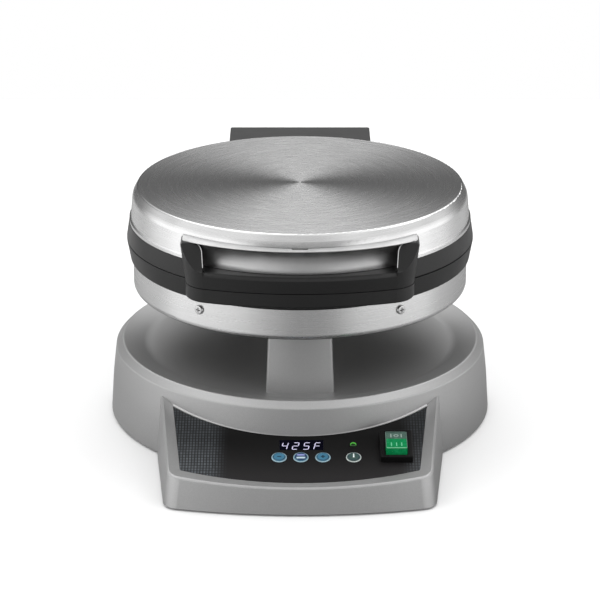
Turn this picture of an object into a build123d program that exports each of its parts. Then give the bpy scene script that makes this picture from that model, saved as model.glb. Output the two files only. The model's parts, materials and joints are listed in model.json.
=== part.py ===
"""Round countertop contact baker: a clamshell head on a pedestal above a dished base.

Millimetres, +Z up. Every piece is drawn about the upright axis of the round base, with the front at -Y
and the base's underside at Z = 0. Each piece is then moved along Y by FRAME_SHIFT, so that the written
model's origin is the middle of its bounding box on the table.
"""

import os
from math import asin, cos, radians, sin, sqrt, tan

from build123d import *

# -------------------------------- base shell
BASE_RADIUS = 190.5
WAIST_DRAW = 2.6
BASE_WAIST_RADIUS = BASE_RADIUS - WAIST_DRAW
BASE_WAIST_Z = 40.0
WAIST_ROUND = 300.0
SHOULDER_DRAW = 3.4
BASE_SHOULDER_RADIUS = BASE_WAIST_RADIUS - SHOULDER_DRAW
BASE_SHOULDER_Z = 69.0
RIM_BEVEL = 6.5
RIM_RADIUS = BASE_SHOULDER_RADIUS - RIM_BEVEL
RIM_Z = 75.7
RIM_WIDTH = 24.0
DISH_RADIUS = RIM_RADIUS - RIM_WIDTH
DISH_Z = 68.0
DISH_ROUND = 20.0
SHELL_FOOT_Z = 2.0
BASE_WALL = 3.0

# -------------------------------- control housing and its sloping panel
HOUSING_PROUD = 82.5
HOUSING_REACH = BASE_RADIUS + HOUSING_PROUD
HOUSING_FRONT_HALF = 125.6
HOUSING_BACK_HALF = 141.5
HOUSING_BACK_Y = 100.0
HOUSING_BOW = 16.0
HOUSING_CORNER = 17.0
HOUSING_DRAW_Z = 60.0
HOUSING_FRONT_DRAFT = 17.5
HOUSING_SIDE_DRAFT = 4.0
HOUSING_CORNER_DRAFT = 7.0
HOUSING_TOP_CORNER = 18.0
PANEL_TILT = 14.5
PANEL_LAP = 0.3
PANEL_BACK = BASE_WAIST_RADIUS - PANEL_LAP
PANEL_BACK_Z = 43.3
RIDGE_RISE = 2.5
RIDGE_ROUND = 3.2
FRAME_BAND = 9.5
OVERLAY_THICKNESS = 1.0
OVERLAY_BACK_HALF = 123.1
OVERLAY_FRONT_HALF = 111.0
OVERLAY_SIDE_BACK = 65.0
OVERLAY_SIDE_FRONT = 50.7
OVERLAY_REACH = 69.7
OVERLAY_CORNER = 2.5
PANEL_WALL = 2.5
SEAT_GAP = 0.3

# -------------------------------- panel furniture, as (across, down the slope)
DISPLAY_PLACE = (1.3, 13.7)
DISPLAY_LENGTH = 41.2
DISPLAY_HEIGHT = 14.8
DISPLAY_LIP = 1.2
LAMP_PLACE = (49.8, 12.9)
LAMP_RADIUS = 2.9
KEY_PLACES = {
    "minus_key": (-19.4, 32.4),
    "select_key": (0.8, 32.4),
    "plus_key": (21.3, 32.4),
    "timer_key": (49.9, 32.4),
}
KEY_RADIUS = 5.9
KEY_CROWN = 1.4
KEY_TRAVEL = 0.8
KEY_SKIRT = 1.0
KEY_STEM_RADIUS = 2.2
KEY_RING_RADIUS = 7.1
KEY_RING_RISE = 0.6
BOARD_DEPTH = 13.0
BOARD_THICKNESS = 1.6
BOARD_LEFT = -45.0
BOARD_RIGHT = 68.0
BOARD_BACK = 4.0
BOARD_FRONT = 56.0
TACT_SIDE = 6.0
TACT_HEIGHT = 3.2
TACT_PLUNGER_RADIUS = 1.7
BUZZER_RADIUS = 7.0
BUZZER_HEIGHT = 6.0

# -------------------------------- rocker switch
SWITCH_PLACE = (89.8, 19.2)
BEZEL_WIDTH = 30.5
BEZEL_LENGTH = 41.1
BEZEL_RISE = 7.0
BEZEL_ROUND = 1.2
SWITCH_BODY_DEPTH = 20.0
SWITCH_BODY_WALL = 2.0
ROCKER_WIDTH = 20.4
ROCKER_LENGTH = 32.2
ROCKER_CROWN = 10.5
ROCKER_KEEL = 4.0
ROCKER_TILT = 9.0
ROCKER_AXIS_LIFT = -1.0
ROCKER_PIVOT_RADIUS = 1.5
COVER_SKIN = 0.8
ROCKER_GAP = 0.35
ROCKER_SKIRT = 2.4
PIVOT_LENGTH = 0.9
PIVOT_SOCKET = 1.2
BLADE_SIZE = (4.8, 0.8, 7.0)
BLADE_PITCH = (10.0, 18.0)

# -------------------------------- bottom plate, feet and what stands on the plate
PLATE_Z = 3.0
PLATE_THICKNESS = 1.2
PLATE_GAP = 0.5
FOOT_RADIUS = 11.0
FRONT_FOOT_INSET = 47.0
REAR_FOOT_INSET = 74.5
FRONT_FOOT = (100.0, -(HOUSING_REACH - FRONT_FOOT_INSET))
REAR_FOOT = (112.0, BASE_RADIUS - REAR_FOOT_INSET)
FOOT_PLACES = [(side * x, y) for x, y in (FRONT_FOOT, REAR_FOOT) for side in (-1, 1)]
BOSS_RADIUS = 4.5
FRONT_BOSS_INSET = 30.0
SIDE_BOSS_INSET = 22.5
REAR_BOSS_INSET = 35.5
FRONT_BOSS = (75.0, -(HOUSING_REACH - FRONT_BOSS_INSET))
SIDE_BOSS = (BASE_RADIUS - SIDE_BOSS_INSET, -20.0)
REAR_BOSS = (62.0, BASE_RADIUS - REAR_BOSS_INSET)
BOSS_PLACES = [(side * x, y) for x, y in (FRONT_BOSS, SIDE_BOSS, REAR_BOSS) for side in (-1, 1)]
SCREW_BITE = 10.0
SCREW_RADIUS = 1.5
SCREW_HEAD_RADIUS = 3.0
SCREW_HEAD = 1.6
SCREW_FIT = 0.05
VENT_ROWS = 3
VENT_COLUMNS = 9
VENT_LENGTH = 22.0
VENT_WIDTH = 3.0
VENT_PITCH_X = 9.0
VENT_PITCH_Y = 30.0
VENT_CENTRE_Y = -75.0
STANDOFF_RADIUS = 3.5
STANDOFF_HEIGHT = 9.0
POWER_BOARD_WIDTH = 112.0
POWER_BOARD_LENGTH = 78.0
POWER_BOARD_Y = 55.0
TRANSFORMER_SIZE = (46.0, 38.0, 32.0)
RELAY_SIZE = (28.0, 12.5, 16.0)
TERMINAL_SIZE = (44.0, 20.0, 15.0)
TERMINAL_Y = 135.0
TERMINAL_HOLE = 2.6
TERMINAL_HOLE_DEPTH = 5.0
GLAND_Z = 25.0
GLAND_RADIUS = 8.0
GLAND_FLANGE_RADIUS = 11.5
GLAND_BORE = 4.0
GLAND_NOZZLE = 8.0
GLAND_INSIDE = 12.0

# -------------------------------- pedestal
COLUMN_MARGIN = 9.0
COLUMN_FRONT = DISH_RADIUS - COLUMN_MARGIN
COLUMN_BACK = COLUMN_FRONT
COLUMN_BOW = 5.3
COLUMN_FOOT_HALF = 32.6
COLUMN_TOP_HALF = 30.0
COLUMN_TOP_Z = 127.5
COLUMN_CORNER = 3.0
COLUMN_WALL = 3.0
BOLT_RADIUS = 3.0
BOLT_HEAD_RADIUS = 5.0
BOLT_HEAD = 4.0
BOLT_BOSS_RADIUS = 6.5
BOLT_BOSS_HEIGHT = 22.0
BOLT_END_INSET = 35.0
BOLT_Y = COLUMN_FRONT - BOLT_END_INSET
BOLT_INSET = 8.0
WIRE_HOLE = 12.0
MOUNT_PLATE_THICKNESS = 2.5
MOUNT_PLATE_MARGIN = 3.0

# -------------------------------- head
SHELL_RADIUS = 165.5
SHELL_CORNER = 6.0
SHEET = 1.2
SHELL_TOP_Z = 175.5
SEAM_Z = 181.55
SEAM_GAP = 0.7
SEAT_INSET = 12.9
RING_SEAT = SHELL_RADIUS - SEAT_INSET
LEDGE_WIDTH = 6.6
RING_INNER = RING_SEAT - LEDGE_WIDTH
RING_PROUD = 5.9
RING_SEAM_RADIUS = SHELL_RADIUS + RING_PROUD
RING_LOW_DRAW = 3.4
RING_LOW_RADIUS = RING_SEAM_RADIUS - RING_LOW_DRAW
RING_HIGH_DRAW = 2.7
RING_HIGH_RADIUS = RING_SEAM_RADIUS - RING_HIGH_DRAW
RING_LOW_Z = 162.0
RING_HIGH_Z = 199.4
LEDGE_DEPTH = 5.2
LEDGE_THICKNESS = 4.4
LID_PROUD = 1.5
LID_WALL_RADIUS = SHELL_RADIUS + LID_PROUD
LID_HEM = 3.0
LID_HEM_RADIUS = LID_WALL_RADIUS + LID_HEM / 2
LID_LEAN = 2.0
LID_SHOULDER_RADIUS = LID_WALL_RADIUS - LID_LEAN
LID_SHOULDER_Z = 225.0
LID_BEVEL = 5.0
LID_TOP_RADIUS = LID_SHOULDER_RADIUS - LID_BEVEL
LID_TOP_Z = 234.0
LID_SHOULDER_ROUND = 15.0
LID_EDGE_ROUND = 2.5
SHELL_SCREW_ANGLE = 35.0
SHELL_SCREW_Z = 151.0
SHELL_SCREW_HEAD_RADIUS = 4.6
SHELL_SCREW_HEAD = 2.4
SHELL_SCREW_RADIUS = 2.0
LUG_WIDTH = 14.0
LUG_DEPTH = 7.6
LUG_BELOW = 6.0

# -------------------------------- cooking plates and heaters, lower half
PLATE_FACE_DEPTH = 10.0
PLATE_BODY = 7.0
PLATE_FLANGE = 4.8
PLATE_RIM = 1.5
PLATE_WALL_RADIUS = RING_INNER - PLATE_RIM
PLATE_WALL_SLOPE = 2.5
PLATE_FACE_RADIUS = PLATE_WALL_RADIUS - PLATE_WALL_SLOPE
PLATE_SCREW_COUNT = 6
HEATER_INSET = 37.0
HEATER_RADIUS = PLATE_FACE_RADIUS - HEATER_INSET
HEATER_TUBE = 4.0
HEATER_GAP_ANGLE = 24.0
HEATER_LEG = 22.0
HEATER_FIT = 0.25
REFLECTOR_INSET = 6.0
REFLECTOR_RADIUS = RING_INNER - REFLECTOR_INSET
REFLECTOR_SHEET = 0.8
REFLECTOR_DEPTH = 14.0
REFLECTOR_POST_RADIUS = 60.0
REFLECTOR_POST = 4.0
REFLECTOR_SCREW_COUNT = 3
THERMOSTAT_RADIUS = 10.0
THERMOSTAT_HEIGHT = 8.0

# -------------------------------- handle and its heat shield
HANDLE_PROUD = 6.6
HANDLE_REACH = RING_SEAM_RADIUS + HANDLE_PROUD
HANDLE_ARC = 290.0
HANDLE_HALF = 107.5
HANDLE_CORNER = 25.0
HANDLE_LOW_Z = 167.4
HANDLE_BAR_Z = 197.6
HANDLE_DRAFT = 7.0
POST_TOP_Z = 222.0
POST_INNER_HALF = 90.5
POST_TOP_INNER_HALF = 92.5
POST_LEAN = 31.0
POST_LEAN_Y = HANDLE_REACH - POST_LEAN
POST_LEAN_ROUND = 6.0
POST_INNER_ROUND = 9.0
POST_OUTER_ROUND = 4.5
BAR_CORNER_ROUND = 3.0
BAR_TOP_ROUND = 5.0
SHIELD_SHEET = 0.6
SHIELD_STAND = 1.0
SHIELD_WALL_RADIUS = RING_HIGH_RADIUS + SHIELD_STAND
SHIELD_COVE = 18.0
SHIELD_PROUD = 6.5
SHIELD_REACH = SHIELD_WALL_RADIUS + SHIELD_PROUD
SHIELD_ARC = 194.0
SHIELD_HALF = 110.0
SHIELD_CORNER = 6.0
SHIELD_TRIM = 1.4
SHIELD_FOOT_Z = 197.9
SHIELD_NOTCH = 15.0
SHIELD_NOTCH_DEPTH = 5.4
SHIELD_NOTCH_DROP = 4.0
SHIELD_SLOT_ARC = 130.0
SHIELD_SLOT_DEPTH = 2.3

# -------------------------------- hinge
HINGE_STAND = 45.6
HINGE_Y = RING_SEAM_RADIUS + HINGE_STAND
OPEN_ANGLE = 100.0
PIN_RADIUS = 3.0
PIN_FIT = 0.04
KNUCKLE_RADIUS = 5.5
KNUCKLE_HALF = 70.0
OUTER_KNUCKLE = 11.0
MOVING_KNUCKLE = 20.0
CENTRE_KNUCKLE_HALF = 16.0
KNUCKLE_GAP = 0.4
LEAF_THICKNESS = 2.0
LEAF_CLEAR = 7.0
ARM_X = 45.0
ARM_WIDTH = 14.0
ARM_THICKNESS = 3.0
ARM_DROP = 31.0
TAB_HEIGHT = 14.0
TAB_DEPTH = 3.0
BRACKET_BOLT_RADIUS = 2.2
BRACKET_BOLT_HEAD_RADIUS = 4.0
BRACKET_BOLT_HEAD = 3.0
SPRING_WIRE = 0.8
SPRING_RADIUS = 4.5
SPRING_PITCH = 2.6
SPRING_TURNS = 6
COVER_OVERHANG = 9.0
COVER_REAR = HINGE_Y + COVER_OVERHANG
COVER_HALF = 77.0
COVER_TOP_Z = 225.0
COVER_DRAFT = 3.7
COVER_WALL = 2.5
COVER_REAR_ROUND = 5.0
COVER_EDGE_ROUND = 1.2
COVER_LEAD = 107.0
COVER_FRONT_Y = HINGE_Y - COVER_LEAD
HOUSING_LOW_Z = 138.0
COVER_SCREW_X = 30.0
COVER_SCREW_OFFSET = 19.0
COVER_POST_RADIUS = 4.0
COVER_HEAD_SINK = 2.2

FRAME_SHIFT = (HOUSING_REACH - COVER_REAR) / 2

UPRIGHT = (Align.CENTER, Align.CENTER, Align.MIN)
HANGING = (Align.CENTER, Align.CENTER, Align.MAX)
CORNER = (Align.MIN, Align.MIN, Align.MIN)
BOTH_SIDES = (-1, 1)

PANEL = Plane(
    origin=(0, -PANEL_BACK, PANEL_BACK_Z),
    x_dir=(1, 0, 0),
    z_dir=(0, -sin(radians(PANEL_TILT)), cos(radians(PANEL_TILT))),
)
LOWER_SEAM_Z = SEAM_Z - SEAM_GAP / 2
UPPER_SEAM_Z = SEAM_Z + SEAM_GAP / 2
SEAM_PLANE = Plane.XY.offset(SEAM_Z)
PLATE_TOP_Z = PLATE_Z + PLATE_THICKNESS
BOARD_TOP = -BOARD_DEPTH
PANEL_UNDERSIDE = -OVERLAY_THICKNESS - PANEL_WALL
LEDGE_Z = LOWER_SEAM_Z - LEDGE_DEPTH
LEDGE_LOW_Z = LEDGE_Z - LEDGE_THICKNESS
PLATE_FACE_Z = LOWER_SEAM_Z - PLATE_FACE_DEPTH
PLATE_BACK_Z = PLATE_FACE_Z - PLATE_BODY
HEATER_Z = PLATE_BACK_Z - HEATER_FIT
REFLECTOR_Z = PLATE_BACK_Z - REFLECTOR_DEPTH
HEAD_FLOOR_Z = COLUMN_TOP_Z + MOUNT_PLATE_THICKNESS


# -------------------------------- building helpers
def disc(radius, low, high, x=0.0, y=0.0):
    """Upright cylinder between two heights."""
    return Pos(x, y, low) * Cylinder(radius, high - low, align=UPRIGHT)


def block(x_span, y_span, z_span):
    """Box between three pairs of limits."""
    size = (x_span[1] - x_span[0], y_span[1] - y_span[0], z_span[1] - z_span[0])
    return Pos(x_span[0], y_span[0], z_span[0]) * Box(*size, align=CORNER)


def turned(corners, rounds=0.0):
    """Solid turned about Z from a closed outline of (radius, height) corners."""
    outline = FilletPolyline(*corners, radius=rounds, close=True)
    return revolve(make_face(Plane.XZ * outline), Axis.Z)


def rod(radius, x_low, x_high, y, z):
    """Cylinder that lies along X."""
    return Pos(x_low, y, z) * (Rot(0, 90, 0) * Cylinder(radius, x_high - x_low, align=UPRIGHT))


def bar(radius, y_low, y_high, x, z):
    """Cylinder that lies along Y."""
    return Pos(x, y_high, z) * (Rot(90, 0, 0) * Cylinder(radius, y_high - y_low, align=UPRIGHT))


def on_panel(across, down, solid):
    """Places a solid, drawn about its own +Z, square to the panel at a point given in panel terms."""
    return PANEL * (Pos(across, -down, 0) * solid)


def around(count, radius, start, solid):
    """Copies of a solid at equal angles about Z."""
    angles = [start + 360.0 * turn / count for turn in range(count)]
    return [Rot(0, 0, angle) * (Pos(radius, 0, 0) * solid) for angle in angles]


def pan_screw(shank_radius, shank, head_radius, head):
    """Screw with its head's underside at Z = 0, shank down and domed head up."""
    dome = fillet(disc(head_radius, 0, head).edges().group_by(Axis.Z)[-1], head * 0.6)
    return dome + disc(shank_radius, -shank, 0)


# -------------------------------- base shell
def base_round(inset, foot_z):
    """Round part of the base, drawn in by inset, from foot_z up to its dished top."""
    corners = [
        (0, foot_z),
        (BASE_RADIUS - inset, foot_z),
        (BASE_WAIST_RADIUS - inset, BASE_WAIST_Z),
        (BASE_SHOULDER_RADIUS - inset, BASE_SHOULDER_Z - inset / 2),
        (RIM_RADIUS - inset / 2, RIM_Z - inset),
        (DISH_RADIUS, DISH_Z - inset),
        (0, DISH_Z - inset),
    ]
    return turned(corners, [0, 0, WAIST_ROUND, 3.0, 2.5, DISH_ROUND, 0])


def housing_outline(reach, front_half, back_half, bow, corner):
    """Plan of the control housing: bowed front edge, rounded corners, sides that widen to the back."""
    side_y = -(reach - bow)
    front = ThreePointArc((-front_half, side_y), (0, -reach), (front_half, side_y))
    sides = Polyline(
        (front_half, side_y),
        (back_half, -HOUSING_BACK_Y),
        (-back_half, -HOUSING_BACK_Y),
        (-front_half, side_y),
    )
    face = make_face(front + sides)
    return fillet(face.vertices().group_by(Axis.Y)[0], corner)


def housing_body(inset, foot_z, top):
    """Control housing drawn in by inset and cut off level with the panel, at a height top above it."""
    low = housing_outline(
        HOUSING_REACH - inset,
        HOUSING_FRONT_HALF - inset,
        HOUSING_BACK_HALF - inset,
        HOUSING_BOW,
        HOUSING_CORNER - inset,
    )
    high = housing_outline(
        HOUSING_REACH - HOUSING_FRONT_DRAFT - inset,
        HOUSING_FRONT_HALF - HOUSING_CORNER_DRAFT - inset,
        HOUSING_BACK_HALF - HOUSING_SIDE_DRAFT - inset,
        HOUSING_BOW,
        HOUSING_TOP_CORNER - inset,
    )
    body = loft([Pos(0, 0, foot_z) * low, Pos(0, 0, HOUSING_DRAW_Z) * high], ruled=True)
    above = PANEL * (Pos(0, 0, top) * Box(2 * BASE_RADIUS, 2 * BASE_RADIUS, BASE_RADIUS, align=UPRIGHT))
    return body - above


def overlay_outline(margin):
    """Overlay's outline in the panel's plane, grown by margin; its back runs on under the round wall."""
    corner_y = -(OVERLAY_SIDE_FRONT + margin)
    front_half = OVERLAY_FRONT_HALF + margin
    back_half = OVERLAY_BACK_HALF + margin
    front_y = -(OVERLAY_REACH + margin)
    front = ThreePointArc((-front_half, corner_y), (0, front_y), (front_half, corner_y))
    sides = Polyline(
        (front_half, corner_y),
        (back_half, OVERLAY_SIDE_BACK),
        (-back_half, OVERLAY_SIDE_BACK),
        (-front_half, corner_y),
    )
    face = make_face(front + sides)
    return fillet(face.vertices().group_by(Axis.Y)[0], OVERLAY_CORNER + margin)


def panel_pocket():
    """Recess that the overlay lies in, with the band that slopes up from it to the ridge."""
    seat = extrude(Pos(0, 0, -OVERLAY_THICKNESS) * overlay_outline(SEAT_GAP), OVERLAY_THICKNESS)
    band = loft(
        [
            overlay_outline(SEAT_GAP),
            Pos(0, 0, RIDGE_RISE) * overlay_outline(SEAT_GAP + FRAME_BAND),
        ],
        ruled=True,
    )
    return PANEL * (seat + band)


def panel_holes():
    """Openings through the panel wall for the display, lamp, keys and switch."""
    through = 2 * (PANEL_WALL + OVERLAY_THICKNESS)
    window = (DISPLAY_LENGTH - 2 * DISPLAY_LIP, DISPLAY_HEIGHT - 2 * DISPLAY_LIP)
    holes = [on_panel(*DISPLAY_PLACE, Box(*window, through * 2))]
    holes.append(on_panel(*LAMP_PLACE, Cylinder(LAMP_RADIUS + SEAT_GAP, through * 2)))
    for place in KEY_PLACES.values():
        holes.append(on_panel(*place, Cylinder(KEY_RADIUS + 2 * SEAT_GAP, through * 2)))
    holes.append(on_panel(*SWITCH_PLACE, Box(*switch_body_size(SEAT_GAP), through * 2)))
    return holes


def board_post_places():
    """Corners of the control board where its posts stand, in panel terms."""
    return [
        (across, down)
        for across in (BOARD_LEFT + 5, BOARD_RIGHT - 5)
        for down in (BOARD_BACK + 5, BOARD_FRONT - 5)
    ]


def base_shell():
    """Painted outer shell of the base with its panel seat, screw bosses, posts and holes."""
    housing = housing_body(0, SHELL_FOOT_Z, RIDGE_RISE)
    top = housing.faces().filter_by(lambda face: face.normal_at().dot(PANEL.z_dir) > 0.999)[0]
    ridge = top.edges().sort_by(Axis.Y)[:-1]
    housing = fillet(ridge, RIDGE_ROUND)
    shell = (housing - panel_pocket()) + base_round(0, SHELL_FOOT_Z)
    below = SHELL_FOOT_Z - 1
    shell -= housing_body(BASE_WALL, below, PANEL_UNDERSIDE) + base_round(BASE_WALL, below)
    middle = BASE_WALL / 2
    core = housing_body(middle, SHELL_FOOT_Z, PANEL_UNDERSIDE + PANEL_WALL / 2)
    core += base_round(middle, SHELL_FOOT_Z)
    for x, y in BOSS_PLACES:
        boss = disc(BOSS_RADIUS, PLATE_TOP_Z, RIM_Z, x, y) & core
        shell += boss - disc(SCREW_RADIUS + SCREW_FIT, PLATE_Z, PLATE_TOP_Z + 1.4 * SCREW_BITE, x, y)
    for across, down in board_post_places():
        height = BOARD_DEPTH + PANEL_UNDERSIDE
        post = Pos(0, 0, BOARD_TOP) * Cylinder(STANDOFF_RADIUS, height + 0.5, align=UPRIGHT)
        hole = Pos(0, 0, BOARD_TOP) * Cylinder(SCREW_RADIUS + SCREW_FIT, height - 1, align=UPRIGHT)
        shell += on_panel(across, down, post - hole)
    for hole in panel_holes():
        shell -= hole
    for x, y in column_bolt_places(COLUMN_FOOT_HALF):
        shell -= disc(BOLT_RADIUS + SCREW_FIT, DISH_Z - 2 * BASE_WALL, DISH_Z + 1, x, y)
    shell -= disc(WIRE_HOLE, DISH_Z - 2 * BASE_WALL, DISH_Z + 1)
    gland_in = BASE_SHOULDER_RADIUS - 4 * BASE_WALL
    return shell - bar(GLAND_RADIUS + SCREW_FIT, gland_in, BASE_RADIUS + 1, 0, GLAND_Z)


def bottom_plate():
    """Sheet that closes the base, with vent slots and holes for its screws."""
    margin = BASE_WALL + PLATE_GAP
    draft = margin + (BASE_RADIUS - BASE_WAIST_RADIUS) * PLATE_TOP_Z / BASE_WAIST_Z
    round_part = disc(BASE_RADIUS - draft, PLATE_Z, PLATE_TOP_Z)
    rise = (PLATE_TOP_Z - SHELL_FOOT_Z) / (HOUSING_DRAW_Z - SHELL_FOOT_Z)
    outline = housing_outline(
        HOUSING_REACH - margin - HOUSING_FRONT_DRAFT * rise,
        HOUSING_FRONT_HALF - margin - HOUSING_CORNER_DRAFT * rise,
        HOUSING_BACK_HALF - margin - HOUSING_SIDE_DRAFT * rise,
        HOUSING_BOW,
        HOUSING_CORNER - BASE_WALL,
    )
    plate = round_part + extrude(Pos(0, 0, PLATE_Z) * outline, PLATE_THICKNESS)
    for x, y in BOSS_PLACES + FOOT_PLACES:
        plate -= disc(SCREW_RADIUS + SCREW_FIT, PLATE_Z - 1, PLATE_TOP_Z + 1, x, y)
    slot = extrude(SlotOverall(VENT_LENGTH, VENT_WIDTH, rotation=90), 4 * PLATE_THICKNESS, both=True)
    columns = GridLocations(VENT_PITCH_X, VENT_PITCH_Y, VENT_COLUMNS, VENT_ROWS)
    plate -= [Pos(0, VENT_CENTRE_Y, PLATE_Z) * place * slot for place in columns]
    return plate


def feet():
    """Rubber feet with recesses for their screw heads."""
    foot = fillet(disc(FOOT_RADIUS, 0, PLATE_Z).edges().group_by(Axis.Z)[0], 1.0)
    foot -= disc(SCREW_HEAD_RADIUS + SEAT_GAP, -1, SCREW_HEAD)
    foot -= disc(SCREW_RADIUS + SCREW_FIT, 0, PLATE_Z + 1)
    return [Pos(x, y, 0) * foot for x, y in FOOT_PLACES]


def upward_screw(shank, x, y, z):
    """Screw that is driven upwards, its head's seat at z."""
    screw = Rot(180, 0, 0) * pan_screw(SCREW_RADIUS, shank, SCREW_HEAD_RADIUS, SCREW_HEAD)
    return Pos(x, y, z) * screw


def foot_screws():
    """Screws that hold the feet to the bottom plate."""
    shank = PLATE_TOP_Z - SCREW_HEAD + 3
    head = SCREW_HEAD - SEAT_GAP
    screw = Rot(180, 0, 0) * pan_screw(SCREW_RADIUS, shank, SCREW_HEAD_RADIUS, head)
    return [Pos(x, y, SCREW_HEAD) * screw for x, y in FOOT_PLACES]


def bottom_screws():
    """Screws that hold the bottom plate to the shell's bosses."""
    return [upward_screw(PLATE_THICKNESS + SCREW_BITE, x, y, PLATE_Z) for x, y in BOSS_PLACES]


def cord_gland():
    """Bush in the rear wall that the supply cord passes through."""
    outer_face = BASE_RADIUS + 1
    body = bar(GLAND_RADIUS, BASE_RADIUS - BASE_WALL - GLAND_INSIDE, outer_face, 0, GLAND_Z)
    flange = bar(GLAND_FLANGE_RADIUS, BASE_WAIST_RADIUS - BASE_WALL, BASE_RADIUS + 2, 0, GLAND_Z)
    nozzle = bar(GLAND_RADIUS - 1.5, BASE_RADIUS, BASE_RADIUS + GLAND_NOZZLE, 0, GLAND_Z)
    gland = body + (flange - base_round(0, SHELL_FOOT_Z)) + nozzle
    return gland - bar(GLAND_BORE, BASE_WAIST_RADIUS - 30, BASE_RADIUS + 20, 0, GLAND_Z)


# -------------------------------- boards and wiring parts in the base
def power_board_places():
    """Corners of the power board, where its stand-offs are."""
    return [
        (x, POWER_BOARD_Y + y)
        for x in (-POWER_BOARD_WIDTH / 2 + 5, POWER_BOARD_WIDTH / 2 - 5)
        for y in (-POWER_BOARD_LENGTH / 2 + 5, POWER_BOARD_LENGTH / 2 - 5)
    ]


def board_standoffs():
    """Stand-offs on the bottom plate, each with a peg that locates the power board."""
    top = PLATE_TOP_Z + STANDOFF_HEIGHT
    post = disc(STANDOFF_RADIUS, PLATE_TOP_Z, top) + disc(SCREW_RADIUS, top, top + 3)
    return [Pos(x, y, 0) * post for x, y in power_board_places()]


def power_board():
    """Power circuit board on its stand-offs."""
    low = PLATE_TOP_Z + STANDOFF_HEIGHT
    x_half = POWER_BOARD_WIDTH / 2
    y_half = POWER_BOARD_LENGTH / 2
    span_y = (POWER_BOARD_Y - y_half, POWER_BOARD_Y + y_half)
    board = block((-x_half, x_half), span_y, (low, low + BOARD_THICKNESS))
    for x, y in power_board_places():
        board -= disc(SCREW_RADIUS + SCREW_FIT, low - 1, low + 3, x, y)
    return board


def on_power_board(size, x, y):
    """Block that stands on the power board, centred at a place measured from the board's middle."""
    low = PLATE_TOP_Z + STANDOFF_HEIGHT + BOARD_THICKNESS
    return Pos(x, POWER_BOARD_Y + y, low) * Box(*size, align=UPRIGHT)


def transformer():
    """Control transformer: a laminated core with a wound bobbin."""
    length, width, height = TRANSFORMER_SIZE
    core = on_power_board((length, width / 2, height), -24, 0)
    bobbin = on_power_board((length - 16, width, height - 8), -24, 0)
    return core + bobbin


def relays():
    """Two power relays side by side."""
    spread = RELAY_SIZE[1] / 2 + 3
    return [fillet(on_power_board(RELAY_SIZE, 32, side * spread).edges(), 0.8) for side in BOTH_SIDES]


def terminal_block():
    """Screw terminals near the cord gland."""
    body = Pos(0, TERMINAL_Y, PLATE_TOP_Z) * Box(*TERMINAL_SIZE, align=UPRIGHT)
    top = PLATE_TOP_Z + TERMINAL_SIZE[2]
    pitch = TERMINAL_SIZE[0] / 3
    for x in (-pitch, 0, pitch):
        body -= disc(TERMINAL_HOLE, top - TERMINAL_HOLE_DEPTH, top + 1, x, TERMINAL_Y)
    return body


# -------------------------------- control panel
def control_overlay():
    """Printed overlay sheet in its recess, cut round the window, lamp, key rings and switch."""
    sheet = extrude(Pos(0, 0, -OVERLAY_THICKNESS) * overlay_outline(0), OVERLAY_THICKNESS)
    sheet = PANEL * sheet - base_round(-SEAT_GAP, SHELL_FOOT_Z)
    cut = 4 * OVERLAY_THICKNESS
    sheet -= on_panel(*DISPLAY_PLACE, Box(DISPLAY_LENGTH + 0.2, DISPLAY_HEIGHT + 0.2, cut))
    sheet -= on_panel(*LAMP_PLACE, Cylinder(LAMP_RADIUS + SEAT_GAP, cut))
    for place in KEY_PLACES.values():
        sheet -= on_panel(*place, Cylinder(KEY_RING_RADIUS + 0.1, cut))
    return sheet - on_panel(*SWITCH_PLACE, Box(*switch_body_size(SEAT_GAP), cut))


def display_window():
    """Dark window over the display."""
    pane = Box(DISPLAY_LENGTH, DISPLAY_HEIGHT, OVERLAY_THICKNESS, align=HANGING)
    return on_panel(*DISPLAY_PLACE, pane)


def display_module():
    """Four-digit display that stands on the control board, its face just under the window."""
    length = DISPLAY_LENGTH - 2 * DISPLAY_LIP - 2 * SEAT_GAP
    height = DISPLAY_HEIGHT - 2 * DISPLAY_LIP - 2 * SEAT_GAP
    depth = BOARD_DEPTH - OVERLAY_THICKNESS - SEAT_GAP
    return on_panel(*DISPLAY_PLACE, Pos(0, 0, BOARD_TOP) * Box(length, height, depth, align=UPRIGHT))


def ready_lamp():
    """Ready lamp: a domed lens on a body that stands on the control board."""
    lens = Pos(0, 0, BOARD_TOP) * Cylinder(LAMP_RADIUS, BOARD_DEPTH + 0.8, align=UPRIGHT)
    lens = fillet(lens.edges().group_by(Axis.Z)[-1], 0.7)
    return on_panel(*LAMP_PLACE, lens)


def key_rings():
    """Trim rings round the keys, seated on the panel wall."""
    high = OVERLAY_THICKNESS + KEY_RING_RISE
    ring = Pos(0, 0, -OVERLAY_THICKNESS) * Cylinder(KEY_RING_RADIUS, high, align=UPRIGHT)
    ring = fillet(ring.edges().group_by(Axis.Z)[-1], 0.4)
    ring -= Cylinder(KEY_RADIUS + SEAT_GAP, 4 * high)
    return [on_panel(*place, ring) for place in KEY_PLACES.values()]


def key(place):
    """Push key: crowned cap, skirt that stops it under the panel wall, and stem over its switch."""
    skirt_top = PANEL_UNDERSIDE - 0.02
    cap = disc(KEY_RADIUS, skirt_top - KEY_SKIRT, KEY_CROWN)
    cap = fillet(cap.edges().group_by(Axis.Z)[-1], 0.9)
    skirt_radius = KEY_RADIUS + 2 * SEAT_GAP + 1.2
    skirt = Pos(0, 0, skirt_top - KEY_SKIRT) * Cylinder(skirt_radius, KEY_SKIRT, align=UPRIGHT)
    stem_low = BOARD_TOP + TACT_HEIGHT + 1.3 + KEY_TRAVEL
    stem = Pos(0, 0, stem_low) * Cylinder(KEY_STEM_RADIUS, skirt_top - stem_low, align=UPRIGHT)
    return on_panel(*place, cap + skirt + stem)


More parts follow.
